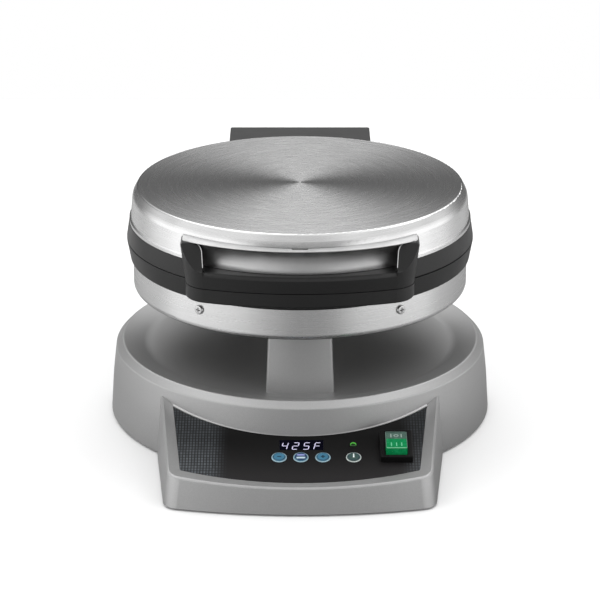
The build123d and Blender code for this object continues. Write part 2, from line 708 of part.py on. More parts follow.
def tact_switches():
    """Small push switches on the control board, one under each key."""
    body = Pos(0, 0, BOARD_TOP) * Box(TACT_SIDE, TACT_SIDE, TACT_HEIGHT, align=UPRIGHT)
    plunger = Pos(0, 0, BOARD_TOP + TACT_HEIGHT) * Cylinder(TACT_PLUNGER_RADIUS, 1.25, align=UPRIGHT)
    return [on_panel(*place, body + plunger) for place in KEY_PLACES.values()]


def control_board():
    """Control circuit board behind the panel, parallel to it."""
    middle_x = (BOARD_LEFT + BOARD_RIGHT) / 2
    middle_down = (BOARD_BACK + BOARD_FRONT) / 2
    size = (BOARD_RIGHT - BOARD_LEFT, BOARD_FRONT - BOARD_BACK, BOARD_THICKNESS)
    board = on_panel(middle_x, middle_down, Pos(0, 0, BOARD_TOP) * Box(*size, align=HANGING))
    for across, down in board_post_places():
        board -= on_panel(across, down, Pos(0, 0, BOARD_TOP) * Cylinder(SCREW_RADIUS + SCREW_FIT, 4))
    return board


def board_screws():
    """Screws that hold the control board up against its posts."""
    seat = BOARD_TOP - BOARD_THICKNESS
    screw = Rot(180, 0, 0) * pan_screw(SCREW_RADIUS, BOARD_THICKNESS + 6, SCREW_HEAD_RADIUS, SCREW_HEAD)
    return [on_panel(across, down, Pos(0, 0, seat) * screw) for across, down in board_post_places()]


def buzzer():
    """Sounder on the control board."""
    can = Pos(0, 0, BOARD_TOP) * Cylinder(BUZZER_RADIUS, BUZZER_HEIGHT, align=UPRIGHT)
    can -= Pos(0, 0, BOARD_TOP + BUZZER_HEIGHT) * Cylinder(1.2, 2)
    return on_panel((BOARD_LEFT + DISPLAY_PLACE[0] - DISPLAY_LENGTH / 2) / 2, DISPLAY_PLACE[1] + 4, can)


# -------------------------------- rocker switch
def switch_opening():
    """Opening in the bezel: the rocker's size at rest and tipped, plus a running gap."""
    tilt = radians(ROCKER_TILT)
    half = ROCKER_LENGTH / 2 * cos(tilt) + ROCKER_CROWN * sin(tilt) + ROCKER_GAP
    return (ROCKER_WIDTH + 2 * ROCKER_GAP, 2 * half)


def switch_body_size(margin):
    """Outside of the switch's body, grown by margin on each side."""
    width, length = switch_opening()
    grow = 2 * (SWITCH_BODY_WALL + margin)
    return (width + grow, length + grow)


def switch_housing():
    """Bezel and body of the rocker switch, with the rocker's well, its pivot sockets and four blades."""
    bezel = extrude(RectangleRounded(BEZEL_WIDTH, BEZEL_LENGTH, 2.0), BEZEL_RISE)
    bezel = fillet(bezel.edges().group_by(Axis.Z)[-1], BEZEL_ROUND)
    housing = bezel + Box(*switch_body_size(0), SWITCH_BODY_DEPTH, align=HANGING)
    well = ROCKER_AXIS_LIFT - ROCKER_KEEL * 2
    housing -= Pos(0, 0, well) * Box(*switch_opening(), BEZEL_RISE + 1 - well, align=UPRIGHT)
    socket = ROCKER_WIDTH / 2 + ROCKER_GAP + PIVOT_SOCKET
    housing -= rod(ROCKER_PIVOT_RADIUS + PIN_FIT, -socket, socket, 0, ROCKER_AXIS_LIFT)
    blade = Pos(0, 0, -SWITCH_BODY_DEPTH) * Box(*BLADE_SIZE, align=HANGING)
    housing += [place * blade for place in GridLocations(*BLADE_PITCH, 2, 2)]
    return on_panel(*SWITCH_PLACE, housing)


def rocker_profile(skin):
    """Side view of the rocker about its pivot, drawn in by skin, pulled along the pivot's line."""
    half = ROCKER_LENGTH / 2 - skin
    crown = ROCKER_CROWN - skin
    corners = [
        (-half, crown),
        (-half + 0.8, 0),
        (-half + 4, -ROCKER_KEEL),
        (half - 4, -ROCKER_KEEL),
        (half - 0.8, 0),
        (half, crown),
    ]
    face = make_face(FilletPolyline(*corners, radius=[0.8, 0, 2, 2, 0, 0.8], close=True))
    width = ROCKER_WIDTH - 2 * skin
    return Pos(-width / 2, 0, 0) * extrude(Plane.YZ * face, width)


def tipped(solid):
    """Puts a solid drawn about the rocker's pivot into place, tipped with its front end up."""
    return on_panel(*SWITCH_PLACE, Pos(0, 0, ROCKER_AXIS_LIFT) * (Rot(-ROCKER_TILT, 0, 0) * solid))


def power_rocker():
    """Rocker of the power switch with its two pivots."""
    reach = ROCKER_WIDTH / 2 + ROCKER_GAP + PIVOT_LENGTH
    core = rocker_profile(COVER_SKIN)
    return tipped(core + rod(ROCKER_PIVOT_RADIUS, -reach, reach, 0, 0))


def rocker_cover():
    """Clear cover over the rocker's crown and upper sides."""
    above = Box(2 * ROCKER_WIDTH, 2 * ROCKER_LENGTH, 2 * ROCKER_CROWN, align=UPRIGHT)
    upper = Pos(0, 0, ROCKER_SKIRT) * above
    return tipped((rocker_profile(0) - rocker_profile(COVER_SKIN)) & upper)


# -------------------------------- pedestal
def column_bolt_places(half_width):
    """Places of the bolts at one end of the column, set in from that end's sides."""
    x = half_width - BOLT_INSET
    return [(side * x, end * BOLT_Y) for side in BOTH_SIDES for end in BOTH_SIDES]


def column_outline(half, inset):
    """Plan of the column: bowed front and back, flat sides."""
    width = half - inset
    front_y = -(COLUMN_FRONT - inset)
    back_y = COLUMN_BACK - inset
    front = ThreePointArc((-width, front_y + COLUMN_BOW), (0, front_y), (width, front_y + COLUMN_BOW))
    back = ThreePointArc((width, back_y - COLUMN_BOW), (0, back_y), (-width, back_y - COLUMN_BOW))
    left = Line((-width, back_y - COLUMN_BOW), (-width, front_y + COLUMN_BOW))
    right = Line((width, front_y + COLUMN_BOW), (width, back_y - COLUMN_BOW))
    return make_face(front + right + back + left)


def column_body(inset, low, high):
    """Column between two heights, drawn in by inset, with its draft carried on past the ends."""
    slope = (COLUMN_FOOT_HALF - COLUMN_TOP_HALF) / (COLUMN_TOP_Z - DISH_Z)
    foot = column_outline(COLUMN_FOOT_HALF - slope * (low - DISH_Z), inset)
    top = column_outline(COLUMN_FOOT_HALF - slope * (high - DISH_Z), inset)
    return loft([Pos(0, 0, low) * foot, Pos(0, 0, high) * top], ruled=True)


def column():
    """Hollow pedestal with screw bosses at its foot and top."""
    body = column_body(0, DISH_Z, COLUMN_TOP_Z)
    corners = body.edges().filter_by(lambda edge: abs((edge % 0.5).Z) > 0.9)
    body = fillet(corners, COLUMN_CORNER)
    body -= column_body(COLUMN_WALL, DISH_Z - 1, COLUMN_TOP_Z + 1)
    ends = [
        (COLUMN_FOOT_HALF, DISH_Z, DISH_Z + BOLT_BOSS_HEIGHT),
        (COLUMN_TOP_HALF, COLUMN_TOP_Z - BOLT_BOSS_HEIGHT, COLUMN_TOP_Z),
    ]
    for half, low, high in ends:
        for x, y in column_bolt_places(half):
            boss = disc(BOLT_BOSS_RADIUS, low, high, x, y)
            body += boss - disc(BOLT_RADIUS + SCREW_FIT, low - 1, high + 1, x, y)
    return body


def hex_bolt(shank):
    """Bolt with its head's underside at Z = 0, shank up."""
    head = extrude(RegularPolygon(BOLT_HEAD_RADIUS, 6), -BOLT_HEAD)
    return head + disc(BOLT_RADIUS, 0, shank)


def column_bolts():
    """Bolts from inside the base, up into the column's foot."""
    bolt = hex_bolt(BASE_WALL + BOLT_BOSS_HEIGHT - 4)
    return [Pos(x, y, DISH_Z - BASE_WALL) * bolt for x, y in column_bolt_places(COLUMN_FOOT_HALF)]


def head_mount_plate():
    """Steel plate between the column's top and the head."""
    outline = column_outline(COLUMN_TOP_HALF, MOUNT_PLATE_MARGIN)
    plate = extrude(Pos(0, 0, COLUMN_TOP_Z) * outline, MOUNT_PLATE_THICKNESS)
    for x, y in column_bolt_places(COLUMN_TOP_HALF):
        plate -= disc(BOLT_RADIUS + SCREW_FIT, COLUMN_TOP_Z - 1, HEAD_FLOOR_Z + 1, x, y)
    return plate - disc(WIRE_HOLE, COLUMN_TOP_Z - 1, HEAD_FLOOR_Z + 1)


def head_bolts():
    """Bolts from inside the head, down into the column's top."""
    bolt = Rot(180, 0, 0) * hex_bolt(SHEET + MOUNT_PLATE_THICKNESS + BOLT_BOSS_HEIGHT - 4)
    return [Pos(x, y, HEAD_FLOOR_Z + SHEET) * bolt for x, y in column_bolt_places(COLUMN_TOP_HALF)]


# -------------------------------- lower head: shell, ring and its handle half
def shell_screw_angles():
    """Angles about Z of the shell's screws, two in front and two behind."""
    return [middle + side * SHELL_SCREW_ANGLE for middle in (-90, 90) for side in BOTH_SIDES]


def at_shell_screws(solid):
    """Copies of a solid drawn along +X, one at each shell screw."""
    return [Rot(0, 0, angle) * (Pos(0, 0, SHELL_SCREW_Z) * solid) for angle in shell_screw_angles()]


def bracket_bolt_hole(side, z):
    """Hole along Y for a hinge bracket's bolt."""
    return bar(BRACKET_BOLT_RADIUS + SCREW_FIT, SHELL_RADIUS / 2, SHELL_RADIUS + 5, side * ARM_X, z)


def lower_shell():
    """Stainless bowl of the lower head."""
    inner = SHELL_RADIUS - SHEET
    corners = [
        (WIRE_HOLE, HEAD_FLOOR_Z),
        (SHELL_RADIUS, HEAD_FLOOR_Z),
        (SHELL_RADIUS, SHELL_TOP_Z),
        (inner, SHELL_TOP_Z),
        (inner, HEAD_FLOOR_Z + SHEET),
        (WIRE_HOLE, HEAD_FLOOR_Z + SHEET),
    ]
    shell = turned(corners, [0, SHELL_CORNER, 0, 0, SHELL_CORNER - SHEET, 0])
    screw_hole = rod(SHELL_SCREW_RADIUS + SEAT_GAP, SHELL_RADIUS / 2, SHELL_RADIUS + 1, 0, 0)
    for hole in at_shell_screws(screw_hole):
        shell -= hole
    for x, y in column_bolt_places(COLUMN_TOP_HALF):
        shell -= disc(BOLT_RADIUS + SCREW_FIT, HEAD_FLOOR_Z - 1, HEAD_FLOOR_Z + 2 * SHEET, x, y)
    for side in BOTH_SIDES:
        shell -= bracket_bolt_hole(side, lower_bolt_z())
    return shell


def shell_screws():
    """Screws through the shell's wall into the lower ring's lugs."""
    screw = pan_screw(SHELL_SCREW_RADIUS, SHEET + LUG_DEPTH, SHELL_SCREW_HEAD_RADIUS, SHELL_SCREW_HEAD)
    screw -= Pos(0, 0, SHELL_SCREW_HEAD) * Box(5.0, 0.9, 2.0)
    screw -= Pos(0, 0, SHELL_SCREW_HEAD) * Box(0.9, 5.0, 2.0)
    return at_shell_screws(Pos(SHELL_RADIUS, 0, 0) * (Rot(0, 90, 0) * screw))


def handle_outline():
    """Plan of the handle at the seam: shallow front arc, rounded corners, straight sides to the ring."""
    corner_y = -HANDLE_REACH + HANDLE_ARC - sqrt(HANDLE_ARC**2 - HANDLE_HALF**2)
    front = ThreePointArc((-HANDLE_HALF, corner_y), (0, -HANDLE_REACH), (HANDLE_HALF, corner_y))
    back_y = -RING_INNER / 2
    sides = Polyline(
        (HANDLE_HALF, corner_y),
        (HANDLE_HALF, back_y),
        (-HANDLE_HALF, back_y),
        (-HANDLE_HALF, corner_y),
    )
    face = make_face(front + sides)
    return fillet(face.vertices().group_by(Axis.Y)[0], HANDLE_CORNER)


def lower_ring():
    """Lower bezel ring with its plate ledge, screw lugs and the lower half of the handle."""
    wall_slot = SHELL_RADIUS + SEAT_GAP * 2
    corners = [
        (RING_INNER, LEDGE_LOW_Z),
        (SHELL_RADIUS - SHEET - SEAT_GAP, LEDGE_LOW_Z),
        (SHELL_RADIUS - SHEET - SEAT_GAP, SHELL_TOP_Z),
        (wall_slot, SHELL_TOP_Z),
        (wall_slot, RING_LOW_Z),
        (RING_LOW_RADIUS, RING_LOW_Z),
        (RING_SEAM_RADIUS, LOWER_SEAM_Z),
        (RING_SEAT, LOWER_SEAM_Z),
        (RING_SEAT, LEDGE_Z),
        (RING_INNER, LEDGE_Z),
    ]
    ring = turned(corners, [0, 0, 0, 0, 0, 0.8, 0.5, 0, 0, 0])
    grip = extrude(Pos(0, 0, LOWER_SEAM_Z) * handle_outline(), HANDLE_LOW_Z - LOWER_SEAM_Z)
    grip = fillet(grip.edges().group_by(Axis.Z)[0], 2.0)
    ring += grip - disc(wall_slot + 0.6, RING_LOW_Z, UPPER_SEAM_Z)
    lug_high = LEDGE_LOW_Z + 0.5
    lug_x = SHELL_RADIUS - SHEET - SEAT_GAP
    lug_span = (-LUG_WIDTH / 2, LUG_WIDTH / 2)
    lug = block((lug_x - LUG_DEPTH, lug_x + 2), lug_span, (-LUG_BELOW, lug_high - SHELL_SCREW_Z))
    lug -= rod(SHELL_SCREW_RADIUS + SCREW_FIT, lug_x - LUG_DEPTH - 1, lug_x + 3, 0, 0)
    bowl = disc(SHELL_RADIUS - SHEET - SEAT_GAP, HEAD_FLOOR_Z, UPPER_SEAM_Z)
    ring += [piece & bowl for piece in at_shell_screws(lug)]
    for hole in plate_screw_holes():
        ring -= hole
    return ring


# -------------------------------- cooking plates, heaters and reflectors
def plate_screw_radius():
    """Radius of the circle that the cooking plate's screws stand on."""
    return (RING_INNER + RING_SEAT) / 2


def plate_screw_holes():
    """Holes through the ledge and into the plate's flange for the lower plate's screws."""
    hole = disc(SCREW_RADIUS + SCREW_FIT, LEDGE_LOW_Z - 1, LEDGE_Z + PLATE_FLANGE - 1.5)
    return around(PLATE_SCREW_COUNT, plate_screw_radius(), 0, hole)


def lower_plate():
    """Cast cooking plate with a rim, seated on the ring's ledge, with a groove for its heater."""
    flange_radius = RING_SEAT - SEAT_GAP
    body_radius = RING_INNER - SEAT_GAP
    flange_top = LEDGE_Z + PLATE_FLANGE
    corners = [
        (0, PLATE_BACK_Z),
        (body_radius, PLATE_BACK_Z),
        (body_radius, LEDGE_Z),
        (flange_radius, LEDGE_Z),
        (flange_radius, flange_top),
        (PLATE_WALL_RADIUS, flange_top),
        (PLATE_FACE_RADIUS, PLATE_FACE_Z),
        (0, PLATE_FACE_Z),
    ]
    plate = turned(corners, [0, 1.5, 0, 0, 0.8, 1.2, 3.0, 0])
    plate -= Pos(0, 0, HEATER_Z) * Torus(HEATER_RADIUS, HEATER_TUBE + HEATER_FIT)
    post = disc(REFLECTOR_POST, REFLECTOR_Z + REFLECTOR_SHEET, PLATE_BACK_Z + 0.5)
    post -= disc(SCREW_RADIUS + SCREW_FIT, REFLECTOR_Z, PLATE_BACK_Z - 1)
    for boss in around(REFLECTOR_SCREW_COUNT, REFLECTOR_POST_RADIUS, 90, post):
        plate += boss
    for hole in plate_screw_holes():
        plate -= hole
    return plate


def lower_plate_screws():
    """Screws from below the ledge into the plate's flange."""
    shank = LEDGE_THICKNESS + PLATE_FLANGE - 2
    screw = Rot(180, 0, 0) * pan_screw(SCREW_RADIUS, shank, SCREW_HEAD_RADIUS, SCREW_HEAD)
    return around(PLATE_SCREW_COUNT, plate_screw_radius(), 0, Pos(0, 0, LEDGE_LOW_Z) * screw)


def heater_leg_places():
    """Places of the heater's two terminal legs, either side of the rear."""
    half = radians(HEATER_GAP_ANGLE / 2)
    return [(side * HEATER_RADIUS * sin(half), HEATER_RADIUS * cos(half)) for side in BOTH_SIDES]


def lower_heater():
    """Tubular heater: an open ring in the plate's groove with two terminal legs turned down."""
    section = Pos(HEATER_RADIUS, 0, 0) * (Rot(90, 0, 0) * Circle(HEATER_TUBE))
    sweep = 360 - HEATER_GAP_ANGLE
    ring = Rot(0, 0, 90 + HEATER_GAP_ANGLE / 2) * revolve(section, Axis.Z, sweep)
    heater = Pos(0, 0, HEATER_Z) * ring
    for x, y in heater_leg_places():
        heater += Pos(x, y, HEATER_Z) * Sphere(HEATER_TUBE)
        heater += disc(HEATER_TUBE, HEATER_Z - HEATER_LEG, HEATER_Z, x, y)
        heater += disc(HEATER_TUBE / 3, HEATER_Z - HEATER_LEG - 6, HEATER_Z - HEATER_LEG, x, y)
    return heater


def lower_reflector():
    """Steel pan under the heater, its rim against the plate's back."""
    inner = REFLECTOR_RADIUS - REFLECTOR_SHEET
    corners = [
        (0, REFLECTOR_Z),
        (REFLECTOR_RADIUS, REFLECTOR_Z),
        (REFLECTOR_RADIUS, PLATE_BACK_Z),
        (inner, PLATE_BACK_Z),
        (inner, REFLECTOR_Z + REFLECTOR_SHEET),
        (0, REFLECTOR_Z + REFLECTOR_SHEET),
    ]
    pan = turned(corners, [0, 3.0, 0, 0, 3.0 - REFLECTOR_SHEET, 0])
    for x, y in heater_leg_places():
        pan -= disc(HEATER_TUBE + 0.6, REFLECTOR_Z - 1, REFLECTOR_Z + 2, x, y)
    hole = disc(SCREW_RADIUS + SCREW_FIT, REFLECTOR_Z - 1, REFLECTOR_Z + 2)
    for cut in around(REFLECTOR_SCREW_COUNT, REFLECTOR_POST_RADIUS, 90, hole):
        pan -= cut
    return pan


def reflector_screws():
    """Screws through the lower reflector into the plate's posts."""
    shank = REFLECTOR_DEPTH - 3
    screw = Rot(180, 0, 0) * pan_screw(SCREW_RADIUS, shank, SCREW_HEAD_RADIUS, SCREW_HEAD)
    place = Pos(0, 0, REFLECTOR_Z)
    return around(REFLECTOR_SCREW_COUNT, REFLECTOR_POST_RADIUS, 90, place * screw)


def lower_thermostat():
    """Thermostat can at the middle of the plate's back, with two blades."""
    low = PLATE_BACK_Z - THERMOSTAT_HEIGHT
    can = fillet(disc(THERMOSTAT_RADIUS, low, PLATE_BACK_Z).edges().group_by(Axis.Z)[0], 1.0)
    blade = Pos(0, 0, low) * Box(0.8, 4.8, 4.0, align=HANGING)
    return can + [Pos(side * 5, 0, 0) * blade for side in BOTH_SIDES]


def in_lid(made):
    """Mirror of what was made for the lower head, turned over the seam into the lid."""
    pieces = made if isinstance(made, list) else [made]
    turned_over = [mirror(piece, about=SEAM_PLANE) for piece in pieces]
    return turned_over if isinstance(made, list) else turned_over[0]


# -------------------------------- lid: shell, upper ring with handle, shield
def lid_outline(grow):
    """Outside corners of the lid above the ring, grown by a clearance."""
    return [
        (0, RING_HIGH_Z),
        (LID_HEM_RADIUS + grow, RING_HIGH_Z),
        (LID_HEM_RADIUS + grow, RING_HIGH_Z + LID_HEM),
        (LID_WALL_RADIUS + grow, RING_HIGH_Z + LID_HEM + 0.8),
        (LID_SHOULDER_RADIUS + grow, LID_SHOULDER_Z),
        (LID_TOP_RADIUS + grow, LID_TOP_Z),
        (0, LID_TOP_Z),
    ]


def lid_shell():
    """Stainless lid: hemmed foot, near upright wall, bevelled shoulder and flat top."""
    outside = turned(lid_outline(0), [0, 0, 0.7, 0, LID_SHOULDER_ROUND, LID_EDGE_ROUND, 0])
    inside = turned(
        [
            (0, RING_HIGH_Z - 1),
            (LID_WALL_RADIUS - SHEET, RING_HIGH_Z - 1),
            (LID_WALL_RADIUS - SHEET, RING_HIGH_Z + LID_HEM + 0.8),
            (LID_SHOULDER_RADIUS - SHEET, LID_SHOULDER_Z),
            (LID_TOP_RADIUS - SHEET * 0.8, LID_TOP_Z - SHEET),
            (0, LID_TOP_Z - SHEET),
        ],
        [0, 0, 0, LID_SHOULDER_ROUND - SHEET, LID_EDGE_ROUND - SHEET, 0],
    )
    shell = outside - inside
    for side in BOTH_SIDES:
        shell -= bracket_bolt_hole(side, upper_bolt_z())
    return shell


def handle_prism(low, high):
    """Handle's plan carried up from the seam with its draft, between two heights."""
    plan = Pos(0, 0, UPPER_SEAM_Z) * handle_outline()
    prism = extrude(plan, POST_TOP_Z + 10 - UPPER_SEAM_Z, taper=-HANDLE_DRAFT)
    reach = 2 * HANDLE_REACH
    return prism & block((-reach, reach), (-reach, reach), (low, high))


def post_front_view(grow=0.0):
    """U shape of the handle seen from the front, with its inner outline grown by a sheet's thickness."""
    top_half, low_half = POST_TOP_INNER_HALF - grow, POST_INNER_HALF - grow
    top_z, bar_z = POST_TOP_Z + grow, HANDLE_BAR_Z + grow
    foot_half = HANDLE_HALF + 0.05
    half = foot_half + (top_z - UPPER_SEAM_Z) * tan(radians(HANDLE_DRAFT))
    corners = [(-foot_half, UPPER_SEAM_Z), (foot_half, UPPER_SEAM_Z), (half, top_z)]
    corners += [(top_half, top_z), (low_half, bar_z), (-low_half, bar_z), (-top_half, top_z)]
    corners += [(-half, top_z)]
    inner = POST_INNER_ROUND + grow
    rounds = [0, 0, POST_OUTER_ROUND, inner, BAR_CORNER_ROUND, BAR_CORNER_ROUND, inner, POST_OUTER_ROUND]
    face = make_face(FilletPolyline(*corners, radius=rounds, close=True))
    return extrude(Plane.XZ * face, 2 * HANDLE_REACH)


def post_foot_y():
    """Where the front of a post starts to lean back, at the bar's top."""
    return -HANDLE_REACH + HANDLE_ARC - sqrt(HANDLE_ARC**2 - POST_INNER_HALF**2)


def post_side_view():
    """Side shape of the handle: upright front up to the bar's top, then posts that lean back."""
    reach = 2 * HANDLE_REACH
    corners = [
        (-reach, UPPER_SEAM_Z),
        (0, UPPER_SEAM_Z),
        (0, POST_TOP_Z),
        (-POST_LEAN_Y, POST_TOP_Z),
        (post_foot_y(), HANDLE_BAR_Z + 0.2),
        (-reach, HANDLE_BAR_Z + 0.2),
    ]
    face = make_face(FilletPolyline(*corners, radius=[0, 0, 0, 3.0, POST_LEAN_ROUND, 0], close=True))
    return Pos(-reach, 0, 0) * extrude(Plane.YZ * face, 2 * reach)


def bar_top_waste():
    """What is cut away along the bar's front top edge to round it over."""
    front = HANDLE_ARC + (HANDLE_BAR_Z - UPPER_SEAM_Z) * tan(radians(HANDLE_DRAFT))
    square = Pos(front, HANDLE_BAR_Z) * Rectangle(2 * BAR_TOP_ROUND, 2 * BAR_TOP_ROUND)
    kept = Pos(front - BAR_TOP_ROUND, HANDLE_BAR_Z - BAR_TOP_ROUND) * Circle(BAR_TOP_ROUND)
    waste = Pos(0, HANDLE_ARC - HANDLE_REACH, 0) * revolve(Plane.XZ * (square - kept), Axis.Z)
    return waste & block((-POST_INNER_HALF, POST_INNER_HALF), (-2 * HANDLE_REACH, 0), (0, POST_TOP_Z))


def upper_ring():
    """Upper bezel ring with its plate ledge and the U-shaped handle."""
    ledge_low = 2 * SEAM_Z - LEDGE_Z
    ledge_high = 2 * SEAM_Z - LEDGE_LOW_Z
    corners = [
        (RING_INNER, ledge_low),
        (RING_SEAT, ledge_low),
        (RING_SEAT, UPPER_SEAM_Z),
        (RING_SEAM_RADIUS, UPPER_SEAM_Z),
        (RING_HIGH_RADIUS, RING_HIGH_Z),
        (RING_SEAT, RING_HIGH_Z),
        (RING_SEAT, ledge_high),
        (RING_INNER, ledge_high),
    ]
    ring = turned(corners, [0, 0, 0, 0.5, 0.8, 0, 0, 0])
    grip = handle_prism(UPPER_SEAM_Z, POST_TOP_Z) & post_front_view() & post_side_view()
    grip -= disc(RING_SEAT + 1, UPPER_SEAM_Z - 1, RING_HIGH_Z)
    grip -= turned(lid_outline(SEAT_GAP))
    ring += grip - bar_top_waste()
    for hole in in_lid(plate_screw_holes()):
        ring -= hole
    return ring


def shield_outline():
    """Plan of the shield's flange: a front arc, with ends that run back to the lid."""
    end_y = -SHIELD_REACH + SHIELD_ARC - sqrt(SHIELD_ARC**2 - SHIELD_HALF**2)
    front = ThreePointArc((-SHIELD_HALF, end_y), (0, -SHIELD_REACH), (SHIELD_HALF, end_y))
    back_y = -sqrt(LID_SHOULDER_RADIUS**2 - SHIELD_HALF**2)
    sides = Polyline(
        (SHIELD_HALF, end_y),
        (SHIELD_HALF, back_y),
        (-SHIELD_HALF, back_y),
        (-SHIELD_HALF, end_y),
    )
    face = make_face(front + sides)
    return fillet(face.vertices().group_by(Axis.Y)[0], SHIELD_CORNER)


def shield_cove():
    """Solid under the flange whose face sweeps from its front edge down and back to the wall."""
    cove_z = POST_TOP_Z - SHIELD_COVE
    radius = (SHIELD_PROUD**2 + SHIELD_COVE**2) / (2 * SHIELD_PROUD)
    turn = asin(SHIELD_COVE / radius) / 2
    middle = (SHIELD_WALL_RADIUS + radius * (1 - cos(turn)), cove_z + radius * sin(turn))
    curve = ThreePointArc((SHIELD_WALL_RADIUS, cove_z), middle, (SHIELD_REACH, POST_TOP_Z))
    back = Polyline(
        (SHIELD_REACH, POST_TOP_Z),
        (SHIELD_WALL_RADIUS, POST_TOP_Z),
        (SHIELD_WALL_RADIUS, cove_z),
    )
    cove = revolve(make_face(Plane.XZ * (curve + back)), Axis.Z)
    return cove & extrude(Pos(0, 0, cove_z) * shield_outline(), SHIELD_COVE)


def shield_trim():
    """Sheet edge that is folded down along the inner edge of each post's front."""
    reach = 2 * HANDLE_REACH
    foot = (post_foot_y(), HANDLE_BAR_Z)
    head = (-POST_LEAN_Y, POST_TOP_Z)
    lean = Polyline(foot, head, (head[0] + SHIELD_TRIM, head[1]), (foot[0] + SHIELD_TRIM, foot[1]), foot)
    band = Pos(-reach, 0, 0) * extrude(Plane.YZ * make_face(lean), 2 * reach)
    inner = POST_TOP_INNER_HALF + POST_INNER_ROUND
    band &= block((-inner, inner), (-reach, 0), (HANDLE_BAR_Z + BAR_CORNER_ROUND + SHIELD_STAND, POST_TOP_Z))
    return (band & post_front_view(SHIELD_SHEET)) - post_front_view()


def handle_shield():
    """Brushed sheet behind the handle: upright wall, cove, flange over the posts and folded end edges."""
    top = POST_TOP_Z + SHIELD_SHEET
    flange = extrude(Pos(0, 0, POST_TOP_Z) * shield_outline(), SHIELD_SHEET)
    wall = disc(SHIELD_WALL_RADIUS, SHIELD_FOOT_Z, POST_TOP_Z)
    wall -= disc(SHIELD_WALL_RADIUS - SHIELD_SHEET, SHIELD_FOOT_Z - 1, POST_TOP_Z + 1)
    between = block((-POST_TOP_INNER_HALF, POST_TOP_INNER_HALF), (-2 * HANDLE_REACH, 0), (0, top))
    shield = flange + (((wall + shield_cove()) & between) - post_front_view()) + shield_trim()
    notch_y = -(LID_SHOULDER_RADIUS + SHIELD_NOTCH_DEPTH)
    notch_z = POST_TOP_Z - SHIELD_NOTCH_DROP
    shield -= block((-SHIELD_NOTCH / 2, SHIELD_NOTCH / 2), (notch_y, 0), (notch_z, top + 1))
    slot_y = -(LID_SHOULDER_RADIUS + SHIELD_SLOT_DEPTH - SHIELD_SLOT_ARC)
    shield -= disc(SHIELD_SLOT_ARC, POST_TOP_Z - 1, top + 1, 0, slot_y)
    return shield - turned(lid_outline(SEAT_GAP))


def lower_bolt_z():
    """Height of the lower bracket's bolts."""
    return SEAM_Z - ARM_DROP - ARM_THICKNESS + TAB_HEIGHT / 2


def upper_bolt_z():
    """Height of the upper bracket's bolts."""
    return 2 * SEAM_Z - lower_bolt_z()


def knuckle(x_low, x_high):
    """One hinge knuckle, bored for the pin, with the tab that joins it to the leaf below."""
    tab = block(
        (x_low, x_high),
        (HINGE_Y - KNUCKLE_RADIUS, HINGE_Y - KNUCKLE_RADIUS + LEAF_THICKNESS),
        (SEAM_Z - LEAF_CLEAR - 1, SEAM_Z),
    )
    barrel = rod(KNUCKLE_RADIUS, x_low, x_high, HINGE_Y, SEAM_Z)
    return barrel + tab - rod(PIN_RADIUS + PIN_FIT, x_low - 1, x_high + 1, HINGE_Y, SEAM_Z)


def bracket(knuckle_spans, shell):
    """Hinge bracket on the lower side: knuckles, leaf, two arms and tabs that lie against the shell."""
    leaf_y = (HINGE_Y - KNUCKLE_RADIUS, HINGE_Y - KNUCKLE_RADIUS + LEAF_THICKNESS)
    arm_z = (SEAM_Z - ARM_DROP - ARM_THICKNESS, SEAM_Z - ARM_DROP)
    leaf_z = (arm_z[0], SEAM_Z - LEAF_CLEAR)
    body = block((-KNUCKLE_HALF, KNUCKLE_HALF), leaf_y, leaf_z)
    for span in knuckle_spans:
        body += knuckle(*span)
    for side in BOTH_SIDES:
        x_span = (side * ARM_X - ARM_WIDTH / 2, side * ARM_X + ARM_WIDTH / 2)
        near = sqrt(SHELL_RADIUS**2 - (ARM_X + ARM_WIDTH / 2) ** 2)
        far = sqrt(SHELL_RADIUS**2 - (ARM_X - ARM_WIDTH / 2) ** 2)
        arm = block(x_span, (near - 1, leaf_y[0]), arm_z)
        tab = block(x_span, (near - 1, far + TAB_DEPTH), (arm_z[0], arm_z[0] + TAB_HEIGHT))
        body += (arm + tab) - shell
        body -= bar(BRACKET_BOLT_RADIUS + SCREW_FIT, near - 5, far + 10, side * ARM_X, lower_bolt_z())
        x = side * COVER_SCREW_X
        body -= bar(SCREW_RADIUS + SCREW_FIT, leaf_y[0] - 1, leaf_y[1] + 1, x, housing_screw_z())
    return body


def housing_screw_z():
    """Height of the hinge housing's screws."""
    return SEAM_Z - COVER_SCREW_OFFSET


def hinge_bracket_lower():
    """Fixed steel bracket with the outer and centre knuckles."""
    outer = (KNUCKLE_HALF - OUTER_KNUCKLE, KNUCKLE_HALF)
    spans = [outer, (-outer[1], -outer[0]), (-CENTRE_KNUCKLE_HALF, CENTRE_KNUCKLE_HALF)]
    return bracket(spans, disc(SHELL_RADIUS, HEAD_FLOOR_Z, SEAM_Z))


def hinge_bracket_upper():
    """Steel bracket in the lid with the two moving knuckles."""
    high = KNUCKLE_HALF - OUTER_KNUCKLE - KNUCKLE_GAP
    low = high - MOVING_KNUCKLE
    lid = mirror(turned(lid_outline(0)), about=SEAM_PLANE)
    return in_lid(bracket([(low, high), (-high, -low)], lid))


def bracket_bolts(z):
    """Bolts from inside a shell through its wall and a bracket's tabs."""
    bolts = []
    inner = sqrt((SHELL_RADIUS - SHEET) ** 2 - (ARM_X + BRACKET_BOLT_HEAD_RADIUS) ** 2) - 0.4
    far = sqrt(SHELL_RADIUS**2 - (ARM_X - ARM_WIDTH / 2) ** 2) + TAB_DEPTH + 2
    for side in BOTH_SIDES:
        head = bar(BRACKET_BOLT_HEAD_RADIUS, inner - BRACKET_BOLT_HEAD, inner, side * ARM_X, z)
        bolts.append(head + bar(BRACKET_BOLT_RADIUS, inner, far, side * ARM_X, z))
    return bolts


